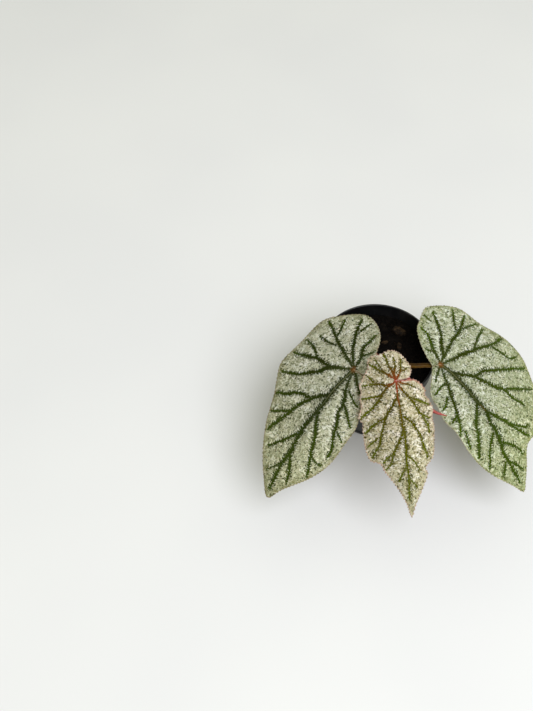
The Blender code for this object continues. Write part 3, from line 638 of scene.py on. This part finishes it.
class LeafFrame:
    """The leaf's own axes, and the height of its surface above its flat frame."""

    def __init__(self, leaf, seed):
        heading = math.radians(leaf["heading"])
        slope = math.radians(leaf["slope"])
        self.leaf = leaf
        self.origin = np.array(leaf["attach"]) * MM
        self.along = np.array((math.cos(heading) * math.cos(slope), math.sin(heading) * math.cos(slope),
                               -math.sin(slope)))
        self.across = np.array((-math.sin(heading), math.cos(heading), 0.0))
        self.up = np.cross(self.along, self.across)
        self.edge = margin(leaf, seed)

    def height(self, points, inward):
        """Arched along the midrib, drooping to both sides, with a waved margin."""
        leaf = self.leaf
        u, w = points[:, 0], points[:, 1]
        share = u / (leaf["length"] * MM)
        arch = 4.0 * leaf["arch"] * MM * share * (1.0 - share)
        droop = leaf["side_drop"] * MM * (w / (leaf["side_width"] * MM)) ** 2
        near_edge = 1.0 - smooth_step(inward / WAVE_REACH)
        calm = smooth_step(np.hypot(u, w) / CALM_RADIUS)
        turn = np.arctan2(w, u - 0.3 * leaf["length"] * MM)
        wave = leaf["wave"] * MM * np.sin(leaf["waves"] * turn + leaf["wave_start"])
        return arch - droop + wave * near_edge * calm

    def place(self, points, heights):
        return (self.origin + points[:, :1] * self.along + points[:, 1:] * self.across
                + np.asarray(heights)[:, None] * self.up)

    def under(self, u, w, below):
        """A point below the surface, square to it where the leafstalk joins."""
        rise = 4.0 * self.leaf["arch"] / self.leaf["length"]
        square = self.up - self.along * rise
        square /= np.linalg.norm(square)
        point = np.array([[u, w]])
        height = self.height(point, distance_to_line(point, self.edge))
        return Vector(self.place(point, height)[0] - square * below)


def vein_fields(leaf, points):
    """For each point: distance to the nearest vein in half widths and in millimetres, how far along that vein it
    lies, the groove and the rib there, and how much painted shade darkens it beside the midrib near the leaf's base.
    """
    ratio = np.full(len(points), 9.0)
    reach = np.full(len(points), 9.0)
    along = np.zeros(len(points))
    groove = np.zeros(len(points))
    ridge = np.zeros(len(points))
    painted_valley_shade = np.zeros(len(points))
    runs = [leaf["midrib"]] + leaf["veins"]
    for number, (width, route) in enumerate(runs):
        line = smooth_line(route, 5)
        walked = np.concatenate([[0.0], np.cumsum(np.hypot(*np.diff(line, axis=0).T))])
        from_centre = route[0] == (0, 0)
        for start, end, first, last in zip(line, line[1:], walked, walked[1:]):
            away, share = distance_to_run(points, start, end)
            away = away / MM
            passed = (first + share * (last - first)) / walked[-1]
            swell = smooth_step(passed / 0.3) if from_centre else np.ones(len(points))
            narrow = 0.85 if number == 0 and leaf["painted_valley_shade"] > 0 else 0.40
            half = leaf["vein_share"] * width * (narrow + (1.0 - narrow) * swell) * (1.0 - 0.3 * passed ** 3)
            nearer = away / half < ratio
            run = end - start
            left = (points - start) @ np.array((-run[1], run[0])) > 0
            along[nearer] = (passed * walked[-1] / MM + 130.0 * number + np.where(left, 47.3, 0.0))[nearer]
            ratio = np.minimum(ratio, away / half)
            reach = np.minimum(reach, away)
            groove = np.maximum(groove, np.exp(-(away / (0.6 + 0.4 * width)) ** 2) * min(width / 3.2, 1.0))
            # Painted shade beside the midrib, strongest near the base, for the material to darken
            if number == 0:
                shaded = leaf["painted_valley_shade"] * (1.0 - smooth_step((passed - 0.4) / 0.5))
                painted_valley_shade = np.maximum(painted_valley_shade, np.exp(-(away / PAINTED_VALLEY_SHADE_REACH) ** 2) * shaded)
            if from_centre:
                strength = (1.0 if number == 0 else 0.5) * (1.0 - smooth_step((passed - 0.25) / 0.55))
                ridge = np.maximum(ridge, np.exp(-(away / 0.5) ** 2) * strength)
    return ratio, reach, along, groove, ridge, painted_valley_shade


def blush_field(leaf, points):
    """How red each point is beside the lobe edge that the leaf's blush route follows."""
    blush = np.zeros(len(points))
    for route, reach, strength in leaf["blush"]:
        line = smooth_line(route, 4)
        for start, end in zip(line, line[1:]):
            away = distance_to_run(points, start, end)[0] / MM
            blush = np.maximum(blush, strength * np.exp(-(away / reach) ** 2))
    return blush


def vertex_normals(places, faces):
    corners = places[faces]
    face_normals = np.cross(corners[:, 1] - corners[:, 0], corners[:, 2] - corners[:, 0])
    normals = np.zeros_like(places)
    for corner in range(3):
        np.add.at(normals, faces[:, corner], face_normals)
    return normals / np.maximum(np.linalg.norm(normals, axis=1), 1e-12)[:, None]


def leaf_blade(side, leaf_frame, top, under, slot):
    """A closed thin blade: teeth, waves, puckers between the veins, sunken veins and a raised midrib."""
    leaf = leaf_frame.leaf
    edge_line = leaf_frame.edge
    step = leaf["grid"] * MM
    low, high = edge_line.min(axis=0), edge_line.max(axis=0)
    rows = np.arange(low[1], high[1], step * math.sqrt(0.75))
    grid = np.array([(u + (row % 2) * step / 2, w) for row, w in enumerate(rows)
                     for u in np.arange(low[0], high[0], step)])
    grid = grid[inside_line(grid, edge_line)]
    grid = grid[distance_to_line(grid, edge_line) > 0.5 * step]
    flat = np.vstack([edge_line, grid])
    loop = [list(range(len(edge_line)))]
    found, _, faces, *_ = delaunay_2d_cdt([Vector(point) for point in flat], [], loop, 1, 1e-8)
    points = np.array([tuple(point) for point in found])
    faces = np.array([tuple(face) for face in faces])
    first, second, third = (points[faces[:, corner]] for corner in range(3))
    turned_over = np.cross(second - first, third - first) < 0
    faces[turned_over] = faces[turned_over][:, ::-1]

    inward = distance_to_line(points, edge_line)
    ratio, reach, along, groove, ridge, painted_valley_shade = vein_fields(leaf, points)
    middle = np.hypot(points[:, 0], points[:, 1])
    calm = smooth_step(middle / (14 * MM))
    lumps = np.array([noise.noise(Vector((u, w, 0.1)) / (5.5 * MM)) for u, w in points])
    fine = np.array([noise.noise(Vector((w, u, 0.7)) / (1.9 * MM)) for u, w in points])
    pucker = leaf["pucker"] * MM
    relief = pucker * (-1.0 * groove + 0.6 * smooth_step(reach / leaf["panel"]) + 0.5 * lumps + 0.18 * fine)
    relief = relief * (0.25 + 0.75 * calm) + 0.42 * MM * ridge
    heights = leaf_frame.height(points, inward)
    middle_surface = leaf_frame.place(points, heights + relief)
    normals = vertex_normals(middle_surface, faces)
    half = 0.5 * (MARGIN_THICKNESS + (BLADE_THICKNESS - MARGIN_THICKNESS) * smooth_step(inward / (3 * MM)))
    upper = middle_surface + normals * half[:, None]
    lower = middle_surface - normals * (half + 0.3 * MM * groove * smooth_step(inward / (4 * MM)))[:, None]

    count = len(points)
    edges = np.sort(np.vstack([faces[:, [0, 1]], faces[:, [1, 2]], faces[:, [2, 0]]]), axis=1)
    directed = np.vstack([faces[:, [0, 1]], faces[:, [1, 2]], faces[:, [2, 0]]])
    _, first_seen, times = np.unique(edges, axis=0, return_index=True, return_counts=True)
    rim = directed[first_seen[times == 1]]
    rim_faces = np.vstack([np.column_stack([rim[:, 1], rim[:, 0], rim[:, 0] + count]),
                           np.column_stack([rim[:, 1], rim[:, 0] + count, rim[:, 1] + count])])
    every = np.vstack([faces, faces[:, ::-1] + count, rim_faces])
    mesh = mesh_from("leaf_" + side, np.vstack([upper, lower]), every)
    finish = np.zeros(len(every), dtype=np.int32)
    finish[len(faces):2 * len(faces)] = 1
    mesh.polygons.foreach_set("material_index", finish)
    mesh.shade_smooth()
    fields = dict(vein=ratio, away=reach, run=along, across=points[:, 1] / MM, edge=inward / MM,
                  middle=middle / MM, ridge=ridge, painted_valley_shade=painted_valley_shade, blush=blush_field(leaf, points))
    for name, values in fields.items():
        add_attribute(mesh, name, np.concatenate([values, values]))
    return add_piece("leaf_" + side, mesh, (top, under), ("blade_" + side,))


def sweep(name, route, section, sides, material, replaced=()):
    """A closed tube: section(share, angle) gives its radius along the route and round it."""
    places = []
    around = []
    along = []
    walked = 0.0
    last = len(route) - 1
    across = None
    for number, place in enumerate(route):
        ahead = (route[min(number + 1, last)] - route[max(number - 1, 0)]).normalized()
        if across is None:
            across = ahead.orthogonal().normalized()
            across = (Vector((0, 0, 1)) - ahead * ahead.z).normalized() if abs(ahead.z) < 0.9 else across
        across = (across - ahead * across.dot(ahead)).normalized()
        beside = ahead.cross(across)
        if number:
            walked += (place - route[number - 1]).length
        for turn in range(sides):
            angle = math.tau * turn / sides
            reach = section(number / last, angle)
            places.append(place + (across * math.cos(angle) + beside * math.sin(angle)) * reach)
            around.append(abs(angle - math.pi))
            along.append(walked / MM)
    faces = []
    for ring in range(last):
        for turn in range(sides):
            after = (turn + 1) % sides
            faces.append((ring * sides + turn, ring * sides + after, (ring + 1) * sides + after,
                          (ring + 1) * sides + turn))
    for ring, order in ((0, -1), (last, 1)):
        centre = len(places)
        places.append(route[ring])
        around.append(0.0)
        along.append(0.0 if ring == 0 else walked / MM)
        for turn in range(sides):
            pair = (ring * sides + turn, ring * sides + (turn + 1) % sides)[::order]
            faces.append((centre, *pair))
    mesh = mesh_from(name, places, faces)
    mesh.shade_smooth()
    mesh.set_sharp_from_angle(angle=math.radians(60))
    add_attribute(mesh, "around", around)
    add_attribute(mesh, "along", along)
    return add_piece(name, mesh, (material,), replaced)


def turned_mesh(name, profile, steps):
    """A mesh turned round Z from a profile that starts and ends on the axis."""
    shape = bmesh.new()
    corners = [shape.verts.new((radius, 0.0, height)) for radius, height in profile]
    edges = [shape.edges.new(pair) for pair in zip(corners, corners[1:])]
    bmesh.ops.spin(shape, geom=corners + edges, cent=(0, 0, 0), axis=(0, 0, 1), angle=math.tau, steps=steps,
                   use_merge=True)
    bmesh.ops.remove_doubles(shape, verts=shape.verts, dist=0.002 * MM)
    bmesh.ops.recalc_face_normals(shape, faces=shape.faces)
    mesh = bpy.data.meshes.new(name)
    shape.to_mesh(mesh)
    shape.free()
    return mesh


def round_corners(profile, radius, steps=4):
    """Each inner corner of a profile replaced by a short curve."""
    rounded = [profile[0]]
    for before, corner, after in zip(profile, profile[1:], profile[2:]):
        here = Vector(corner)
        back = Vector(before) - here
        ahead = Vector(after) - here
        start = here + back.normalized() * min(radius, 0.42 * back.length)
        end = here + ahead.normalized() * min(radius, 0.42 * ahead.length)
        for step in range(steps + 1):
            t = step / steps
            rounded.append(tuple(start * (1 - t) ** 2 + here * 2 * t * (1 - t) + end * t ** 2))
    rounded.append(profile[-1])
    return rounded


def pot():
    """The pot with rounded edges and its drain holes."""
    lip_foot = POT_HEIGHT - LIP_HEIGHT
    rounding = 0.5 * MM
    profile = [
        (0.0, FLOOR_TOP), (BODY_FOOT_RADIUS - WALL, FLOOR_TOP), (BODY_TOP_RADIUS - WALL, BAND_FOOT - 0.4 * MM),
        (BAND_RADIUS - 1.6 * MM, BAND_FOOT + WALL), (RIM_RADIUS - 1.6 * MM, POT_HEIGHT - rounding),
        (RIM_RADIUS - 1.2 * MM, POT_HEIGHT), (RIM_RADIUS - rounding, POT_HEIGHT),
        (RIM_RADIUS, POT_HEIGHT - rounding), (RIM_RADIUS, lip_foot + rounding),
        (BAND_RADIUS + 0.1 * MM, lip_foot), (BAND_RADIUS - 0.5 * MM, BAND_FOOT + rounding),
        (BAND_RADIUS - 0.9 * MM, BAND_FOOT), (BODY_TOP_RADIUS, BAND_FOOT - 0.6 * MM),
        (BODY_FOOT_RADIUS, FOOT_HEIGHT + 0.3 * MM), (FOOT_RADIUS, FOOT_HEIGHT), (FOOT_RADIUS, 0.0),
        (CHANNEL_OUTER + 0.8 * MM, 0.0), (CHANNEL_OUTER, CHANNEL_ROOF),
        (PAD_RADIUS + 0.8 * MM, CHANNEL_ROOF), (PAD_RADIUS, 0.0), (0.0, 0.0)]
    body = add_piece("pot_shell", turned_mesh("pot_shell", round_corners(profile, 0.45 * MM), POT_STEPS),
                     (pot_material(),), ("pot",))
    drill = bpy.data.meshes.new("drain_drill")
    shape = bmesh.new()
    for number in range(DRAIN_HOLES):
        angle = (number + 0.5) * math.tau / DRAIN_HOLES
        place = Vector((math.cos(angle), math.sin(angle), 0.0)) * DRAIN_HOLE_CIRCLE
        place.z = (CHANNEL_ROOF + FLOOR_TOP) / 2
        bmesh.ops.create_cone(shape, cap_ends=True, segments=32, radius1=DRAIN_HOLE_RADIUS,
                              radius2=DRAIN_HOLE_RADIUS, depth=FLOOR_TOP, matrix=Matrix.Translation(place))
    shape.to_mesh(drill)
    shape.free()
    cutter = bpy.data.objects.new("drain_drill", drill)
    bpy.context.scene.collection.objects.link(cutter)
    cut = body.modifiers.new("drain holes", "BOOLEAN")
    cut.operation = "DIFFERENCE"
    cut.object = cutter
    bpy.context.view_layer.update()
    graph = bpy.context.evaluated_depsgraph_get()
    bored = bpy.data.meshes.new_from_object(body.evaluated_get(graph))
    body.modifiers.clear()
    body.data = bored
    bpy.data.objects.remove(cutter, do_unlink=True)
    bored.shade_smooth()
    bored.set_sharp_from_angle(angle=math.radians(40))


def soil_height(x, y):
    """How far the soil's crust stands above or below its level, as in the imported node."""
    coarse = noise.noise(Vector((x, y, 0.3)) / (11.0 * MM))
    fine = noise.noise(Vector((y, x, 4.7)) / (4.5 * MM))
    return SOIL_LUMP * (coarse + 0.6 * fine)


def crust_height(x, y):
    """The same crust with its crumbs."""
    crumbs = abs(noise.noise(Vector((x, y, 9.1)) / (2.2 * MM)))
    grit = noise.noise(Vector((x, y, 5.2)) / (1.1 * MM))
    return soil_height(x, y) + 1.5 * MM * (crumbs - 0.25) + 0.35 * MM * grit


def soil(material):
    """The bed of soil: a block that fills the pot, with a crumbly crust."""
    foot_radius = BODY_FOOT_RADIUS - WALL - GAP
    shoulder_radius = BODY_TOP_RADIUS - WALL - GAP
    crust = [(SOIL_TOP_RADIUS * ring / SOIL_RINGS, SOIL_LEVEL) for ring in range(SOIL_RINGS + 1)]
    side = [(SOIL_TOP_RADIUS, BAND_FOOT + 1.8 * MM), (shoulder_radius, BAND_FOOT - 1.0 * MM),
            (foot_radius, FLOOR_TOP + GAP), (0.0, FLOOR_TOP + GAP)]
    mesh = turned_mesh("soil_bed", crust + side, SOIL_STEPS)
    foot = Vector((CANE_FOOT[0] * MM, CANE_FOOT[1] * MM))
    for vertex in mesh.vertices:
        if vertex.co.z > SOIL_LEVEL - GAP:
            near_cane = (vertex.co.xy - foot).length - CANE_BASE_RADIUS
            vertex.co.z += crust_height(vertex.co.x, vertex.co.y)
            vertex.co.z -= 1.2 * MM * math.exp(-(max(near_cane, 0.0) / (1.2 * MM)) ** 2)
    mesh.shade_smooth()
    add_piece("soil_bed", mesh, (material,), ("soil",))


def rough_chip(shape, place, size, turn, draw, roughness, detail):
    """One angular chip: a ball squashed, turned and knocked out of shape."""
    made = bmesh.ops.create_icosphere(shape, subdivisions=detail, radius=0.56,
                                      matrix=Matrix.Translation(place) @ turn @ Matrix.Diagonal((*size, 1.0)))
    seed = draw.uniform(0, 90)
    for vertex in made["verts"]:
        local = (vertex.co - place) / max(size)
        push = noise.noise_vector(local * 2.6 + Vector((seed, seed, seed)))
        vertex.co += push * roughness * min(size)


def chips(material):
    """The bits of bark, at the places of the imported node's bumps."""
    draw = random.Random(CHIP_SEED)
    shaper = random.Random(CHIP_SEED + 1)
    shape = bmesh.new()
    for number in range(CHIP_COUNT):
        angle = number * math.tau / CHIP_COUNT + draw.uniform(-0.15, 0.15)
        reach = draw.uniform(0.38, 0.86) * SOIL_TOP_RADIUS
        x = reach * math.cos(angle)
        y = reach * math.sin(angle)
        place = Vector((x, y, SOIL_LEVEL + soil_height(x, y) + 0.4 * MM))
        size = Vector((draw.uniform(4.0, 7.5), draw.uniform(2.6, 4.5), draw.uniform(1.6, 2.6))) * MM
        turn = Matrix.Rotation(draw.uniform(0, math.tau), 4, "Z") @ Matrix.Rotation(draw.uniform(-0.3, 0.3), 4, "X")
        for _ in range(12 * 3):
            draw.uniform(-1, 1)
        rough_chip(shape, place, size * 1.1, turn, shaper, 0.45, 3)
    x, y = LARGE_CHIP_PLACE
    place = Vector((x, y, SOIL_LEVEL + soil_height(x, y) + 0.9 * MM))
    rough_chip(shape, place, Vector(LARGE_CHIP_SIZE), Matrix.Rotation(-0.6, 4, "Z"), shaper, 0.6, 4)
    mesh = bpy.data.meshes.new("bark_chips")
    shape.to_mesh(mesh)
    shape.free()
    mesh.shade_smooth()
    mesh.set_sharp_from_angle(angle=math.radians(35))
    add_piece("bark_chips", mesh, (material,))


def crumbs(material):
    """Loose crumbs of peat and bark scattered over the crust."""
    draw = random.Random(CRUMB_SEED)
    shape = bmesh.new()
    foot = Vector((CANE_FOOT[0] * MM, CANE_FOOT[1] * MM))
    for _ in range(CRUMB_COUNT):
        angle = draw.uniform(0, math.tau)
        reach = math.sqrt(draw.uniform(0.0, 1.0)) * (SOIL_TOP_RADIUS - 1.2 * MM)
        x = reach * math.cos(angle)
        y = reach * math.sin(angle)
        size = draw.choice((0.7, 0.9, 1.2, 1.6, 2.3)) * MM
        if (Vector((x, y)) - foot).length < CANE_BASE_RADIUS + size:
            continue
        place = Vector((x, y, SOIL_LEVEL + crust_height(x, y) + 0.15 * size))
        spread = Vector((draw.uniform(0.7, 1.4), draw.uniform(0.6, 1.0), draw.uniform(0.5, 0.9))) * size
        turn = Matrix.Rotation(draw.uniform(0, math.tau), 4, "Z") @ Matrix.Rotation(draw.uniform(-0.8, 0.8), 4, "Y")
        rough_chip(shape, place, spread, turn, draw, 0.5, 1)
    mesh = bpy.data.meshes.new("soil_crumbs")
    shape.to_mesh(mesh)
    shape.free()
    mesh.shade_smooth()
    mesh.set_sharp_from_angle(angle=math.radians(30))
    add_piece("soil_crumbs", mesh, (material,))


def cane_radius(share):
    """The cane tapers upwards and swells at its nodes."""
    swell = sum(math.exp(-((share - node) / 0.028) ** 2) for node in CANE_NODES)
    return CANE_BASE_RADIUS + (CANE_TIP_RADIUS - CANE_BASE_RADIUS) * share + NODE_SWELL * swell


def cane_route(pieces=CANE_PIECES):
    return smooth_route([Vector(point) * MM for point in CANE_ROUTE], pieces)


def cane_seat(share, heading, clearance):
    """A point just off the cane's side, and the direction square to the cane there."""
    route = cane_route()
    number = round(share * (len(route) - 1))
    direction = (route[min(number + 1, len(route) - 1)] - route[number - 1]).normalized()
    outward = Vector((math.cos(math.radians(heading)), math.sin(math.radians(heading)), 0.0))
    outward = (outward - outward.dot(direction) * direction).normalized()
    return route[number] + outward * (cane_radius(share) + clearance), outward


def cane(material):
    """The cane, with a ring scar at each node and faint ribs."""
    route = cane_route(24)

    def section(share, angle):
        scar = sum(math.exp(-((share - node + 0.012) / 0.005) ** 2) for node in CANE_NODES)
        rib = 0.05 * MM * math.sin(5 * angle + 9 * share)
        end = 1.0 - 0.25 * smooth_step((share - 0.985) / 0.015)
        return (cane_radius(share) - 0.22 * MM * scar + rib) * end

    return sweep("cane_stem", route, section, 36, material, ("cane",))


def leafstalk(side, leaf_frame, material):
    """The stalk leaves the cane square to it and ends just under the blade."""
    radius = STALK_RADIUS[side]
    seat, outward = cane_seat(*STALK_NODE[side], GAP)
    route = [seat, seat + outward * STALK_START] + [Vector(point) * MM for point in STALK_ROUTE[side]]
    for u, w, below in STALK_APPROACH[side]:
        route.append(leaf_frame.under(u * MM, w * MM, below * MM))
    route = gentle_route(route, 10)

    def section(share, angle):
        body = radius * (1.12 - 0.24 * math.sin(math.pi * share))
        channel = 0.14 * radius * math.exp(-(min(angle, math.tau - angle) / 0.45) ** 2)
        rib = 0.03 * radius * math.sin(7 * angle + 4 * share)
        return (body - channel + rib) * (1.0 - 0.15 * smooth_step((share - 0.93) / 0.07))

    return sweep("stalk_" + side, route, section, 28, material, ("leafstalk_" + side,))


def young_leaf(material):
    """A new leaf rolled into a spike, with the step of its overlapping edge."""
    tip, before = cane_route()[-1], cane_route()[-2]
    foot = tip + (tip - before).normalized() * GAP
    route = smooth_route([foot] + [Vector(point) * MM for point in YOUNG_LEAF_ROUTE], 14)

    def section(share, angle):
        body = YOUNG_LEAF_RADIUS * (0.45 + 0.9 * share) * (1.0 - share ** 3) + 0.25 * MM * share ** 3
        roll = 1.0 + 0.22 * smooth_step((share - 0.35) / 0.2) * (((angle / math.tau + 1.1 * share) % 1.0) - 0.5)
        return body * roll

    return sweep("rolled_leaf", route, section, 32, material, ("young_leaf",))


def stipules(material):
    """Papery scales at the nodes: pointed, cupped and a little torn at the edge."""
    rows, columns = 26, 13
    for number, (node, heading, rise) in enumerate(STIPULES, 1):
        seat, _ = cane_seat(node, heading, STIPULE_CLEARANCE)
        turn = Matrix.Rotation(math.radians(heading), 4, "Z") @ Matrix.Rotation(-math.radians(rise), 4, "Y")
        matrix = Matrix.Translation(seat) @ turn
        places = []
        for layer in (0.5, -0.5):
            for row in range(rows):
                t = row / (rows - 1)
                half = STIPULE_WIDTH / 2 * (0.55 + 0.9 * t - 1.4 * t ** 2) + 0.1 * MM
                for column in range(columns):
                    side = 2.0 * column / (columns - 1) - 1.0
                    torn = 1.0 + 0.07 * math.sin(17 * t + 5 * number) * abs(side) ** 3
                    cup = 0.28 * STIPULE_WIDTH * side ** 2 * (1 - 0.5 * t) + 0.12 * MM * math.sin(9 * side + number)
                    thick = 0.3 * MM * (1.0 - 0.5 * abs(side)) * layer
                    local = Vector((t * STIPULE_LENGTH, side * half * torn, cup - 1.2 * MM * t ** 2 + thick))
                    places.append(matrix @ local)
        faces = []
        half_count = rows * columns
        for row in range(rows - 1):
            for column in range(columns - 1):
                corner = row * columns + column
                quad = (corner, corner + columns, corner + columns + 1, corner + 1)
                faces.append(quad)
                faces.append(tuple(index + half_count for index in quad[::-1]))
        border = [row * columns for row in range(rows)]
        border += [(rows - 1) * columns + column for column in range(1, columns)]
        border += [row * columns + columns - 1 for row in range(rows - 2, -1, -1)]
        border += [column for column in range(columns - 2, 0, -1)]
        for first, second in zip(border, border[1:] + border[:1]):
            faces.append((second, first, first + half_count, second + half_count))
        shape = bmesh.new()
        shape.from_mesh(mesh_from("shape", places, faces))
        bmesh.ops.recalc_face_normals(shape, faces=shape.faces)
        mesh = bpy.data.meshes.new(f"scale_{number}")
        shape.to_mesh(mesh)
        shape.free()
        mesh.shade_smooth()
        add_attribute(mesh, "around", [place.z / MM for place in places])
        add_attribute(mesh, "along", [place.x / MM for place in places])
        add_piece(f"scale_{number}", mesh, (material,), (f"stipule_{number}",))


def camera():
    data = bpy.data.cameras.new("camera")
    data.sensor_width = SENSOR
    data.lens = FOCAL_PIXELS * SENSOR / IMAGE_HEIGHT
    data.clip_start = 0.01
    thing = bpy.data.objects.new("camera", data)
    bpy.context.scene.collection.objects.link(thing)
    thing.matrix_world = (Matrix.Translation(CAMERA_PLACE)
                          @ Matrix.Rotation(math.radians(90.0 - CAMERA_PITCH), 4, "X")
                          @ Matrix.Rotation(math.radians(CAMERA_ROLL), 4, "Z"))
    bpy.context.scene.camera = thing


def area_light(name, place, target, size, power, colour):
    data = bpy.data.lights.new(name, "AREA")
    data.shape = "DISK"
    data.size = size
    data.energy = power
    data.color = colour
    thing = bpy.data.objects.new(name, data)
    bpy.context.scene.collection.objects.link(thing)
    thing.location = place
    thing.rotation_euler = (Vector(target) - Vector(place)).to_track_quat("-Z", "Y").to_euler()


def even_light():
    """Light from all round, with a pale band along the horizon behind the floor."""
    world = bpy.data.worlds.new("even light")
    world.use_nodes = True
    tree = world.node_tree
    direction = tree.nodes.new("ShaderNodeTexCoord").outputs["Generated"]
    axes = tree.nodes.new("ShaderNodeSeparateXYZ")
    tree.links.new(direction, axes.inputs[0])
    height = tree.nodes.new("ShaderNodeMapRange")
    height.inputs["From Max"].default_value = HORIZON_HEIGHT
    tree.links.new(axes.outputs["Z"], height.inputs["Value"])
    blend = tree.nodes.new("ShaderNodeMix")
    blend.data_type = "RGBA"
    blend.inputs["A"].default_value = HORIZON_COLOUR
    blend.inputs["B"].default_value = SKY_COLOUR
    tree.links.new(height.outputs["Result"], blend.inputs["Factor"])
    background = tree.nodes["Background"]
    background.inputs["Strength"].default_value = SKY_STRENGTH
    tree.links.new(blend.outputs["Result"], background.inputs["Color"])
    bpy.context.scene.world = world


def studio():
    """A wide pale floor, a broad soft light from above and a little in front, and even light all round."""
    mesh = bpy.data.meshes.new("floor")
    shape = bmesh.new()
    bmesh.ops.create_grid(shape, x_segments=4, y_segments=4, size=3.0)
    shape.to_mesh(mesh)
    shape.free()
    mesh.materials.append(floor_material())
    floor = bpy.data.objects.new("floor", mesh)
    bpy.context.scene.collection.objects.link(floor)
    floor.location.z = -0.1 * MM
    area_light("window", (0.52, -1.08, 1.90), (0, -0.03, 0.05), 1.8, 45.0, (0.92, 0.925, 1.0))
    even_light()
    bpy.context.scene.view_settings.view_transform = "Standard"


def main():
    camera()
    studio()
    # Each leaf's finish below holds a near-white colour for painted highlights and a share of painted shade for one
    # half of its blade.
    silver_top = leaf_top_material(
        "silver leaf", silver=srgb(225, 225, 206), shade=srgb(156, 158, 130), gap=srgb(80, 86, 42),
        painted_highlight=srgb(224, 225, 214), dull=srgb(136, 135, 98), tint=srgb(245, 245, 229), vein_near=srgb(50, 58, 22),
        vein_dark=srgb(36, 45, 0), vein_bright=srgb(60, 77, 6), speck=srgb(44, 50, 10), rib=srgb(112, 114, 78),
        centre=srgb(120, 72, 30), centre_reach=4.0, margin_line=srgb(146, 130, 100), speck_limit=0.595,
        dab_size=1.8 * MM,
        painted_side_shade=0.22, far_edge=1.0)
    green_top = leaf_top_material(
        "green silver leaf", silver=srgb(222, 225, 206), shade=srgb(151, 157, 124), gap=srgb(82, 94, 36),
        painted_highlight=srgb(230, 233, 223), dull=srgb(144, 151, 102), tint=srgb(240, 243, 217), vein_near=srgb(54, 62, 22),
        vein_dark=srgb(44, 54, 0), vein_bright=srgb(68, 90, 0), speck=srgb(46, 56, 8), rib=srgb(116, 116, 74),
        centre=srgb(134, 78, 34), centre_reach=4.0, margin_line=srgb(164, 156, 126), speck_limit=0.595,
        dab_size=1.8 * MM,
        painted_side_shade=0.08, far_edge=0.35)
    rosy_top = leaf_top_material(
        "rosy silver leaf", silver=srgb(238, 231, 212), shade=srgb(172, 164, 128), gap=srgb(106, 99, 46),
        painted_highlight=srgb(240, 234, 223), dull=srgb(186, 174, 146), tint=srgb(244, 250, 240), vein_near=srgb(78, 60, 6),
        vein_dark=srgb(78, 74, 2), vein_bright=srgb(96, 106, 14), speck=srgb(66, 64, 18), rib=srgb(110, 76, 30),
        centre=srgb(150, 20, 20), centre_reach=11.0, margin_line=srgb(184, 150, 138), speck_limit=0.57,
        dab_size=1.5 * MM,
        painted_side_shade=0.34, far_edge=1.0)
    silver_under = leaf_under_material("silver leaf underside", srgb(128, 126, 92), srgb(128, 84, 62))
    rosy_under = leaf_under_material("rosy leaf underside", srgb(150, 108, 84), srgb(142, 64, 52))
    stalk_skin = stem_material("leafstalk skin", srgb(96, 69, 16), srgb(66, 43, 6), srgb(122, 92, 38), 0.42,
                               srgb(50, 31, 0))
    cane_skin = stem_material("cane skin", srgb(112, 100, 54), srgb(84, 62, 38), srgb(168, 150, 110))
    red_growth = stem_material("red new growth", srgb(140, 50, 46), srgb(100, 32, 26), srgb(190, 118, 102), 0.4,
                               srgb(176, 92, 84))
    papery = stem_material("papery stipule", srgb(150, 92, 66), srgb(112, 62, 44), srgb(186, 134, 100), 0.6)
    earth = soil_material("potting soil", srgb(5, 4, 3), srgb(15, 11, 8), srgb(54, 41, 27))
    bark = bark_material()

    pot()
    soil(earth)
    chips(bark)
    crumbs(earth)
    cane(cane_skin)
    finishes = {"left": (silver_top, silver_under, "silver_leaf"),
                "middle": (rosy_top, rosy_under, "rosy_leaf"),
                "right": (green_top, silver_under, "silver_leaf")}
    for seed, (side, leaf) in enumerate(LEAVES.items(), 3):
        leaf_frame = LeafFrame(leaf, seed)
        leaf_blade(side, leaf_frame, *finishes[side])
        leafstalk(side, leaf_frame, stalk_skin)
    young_leaf(red_growth)
    stipules(papery)


main()
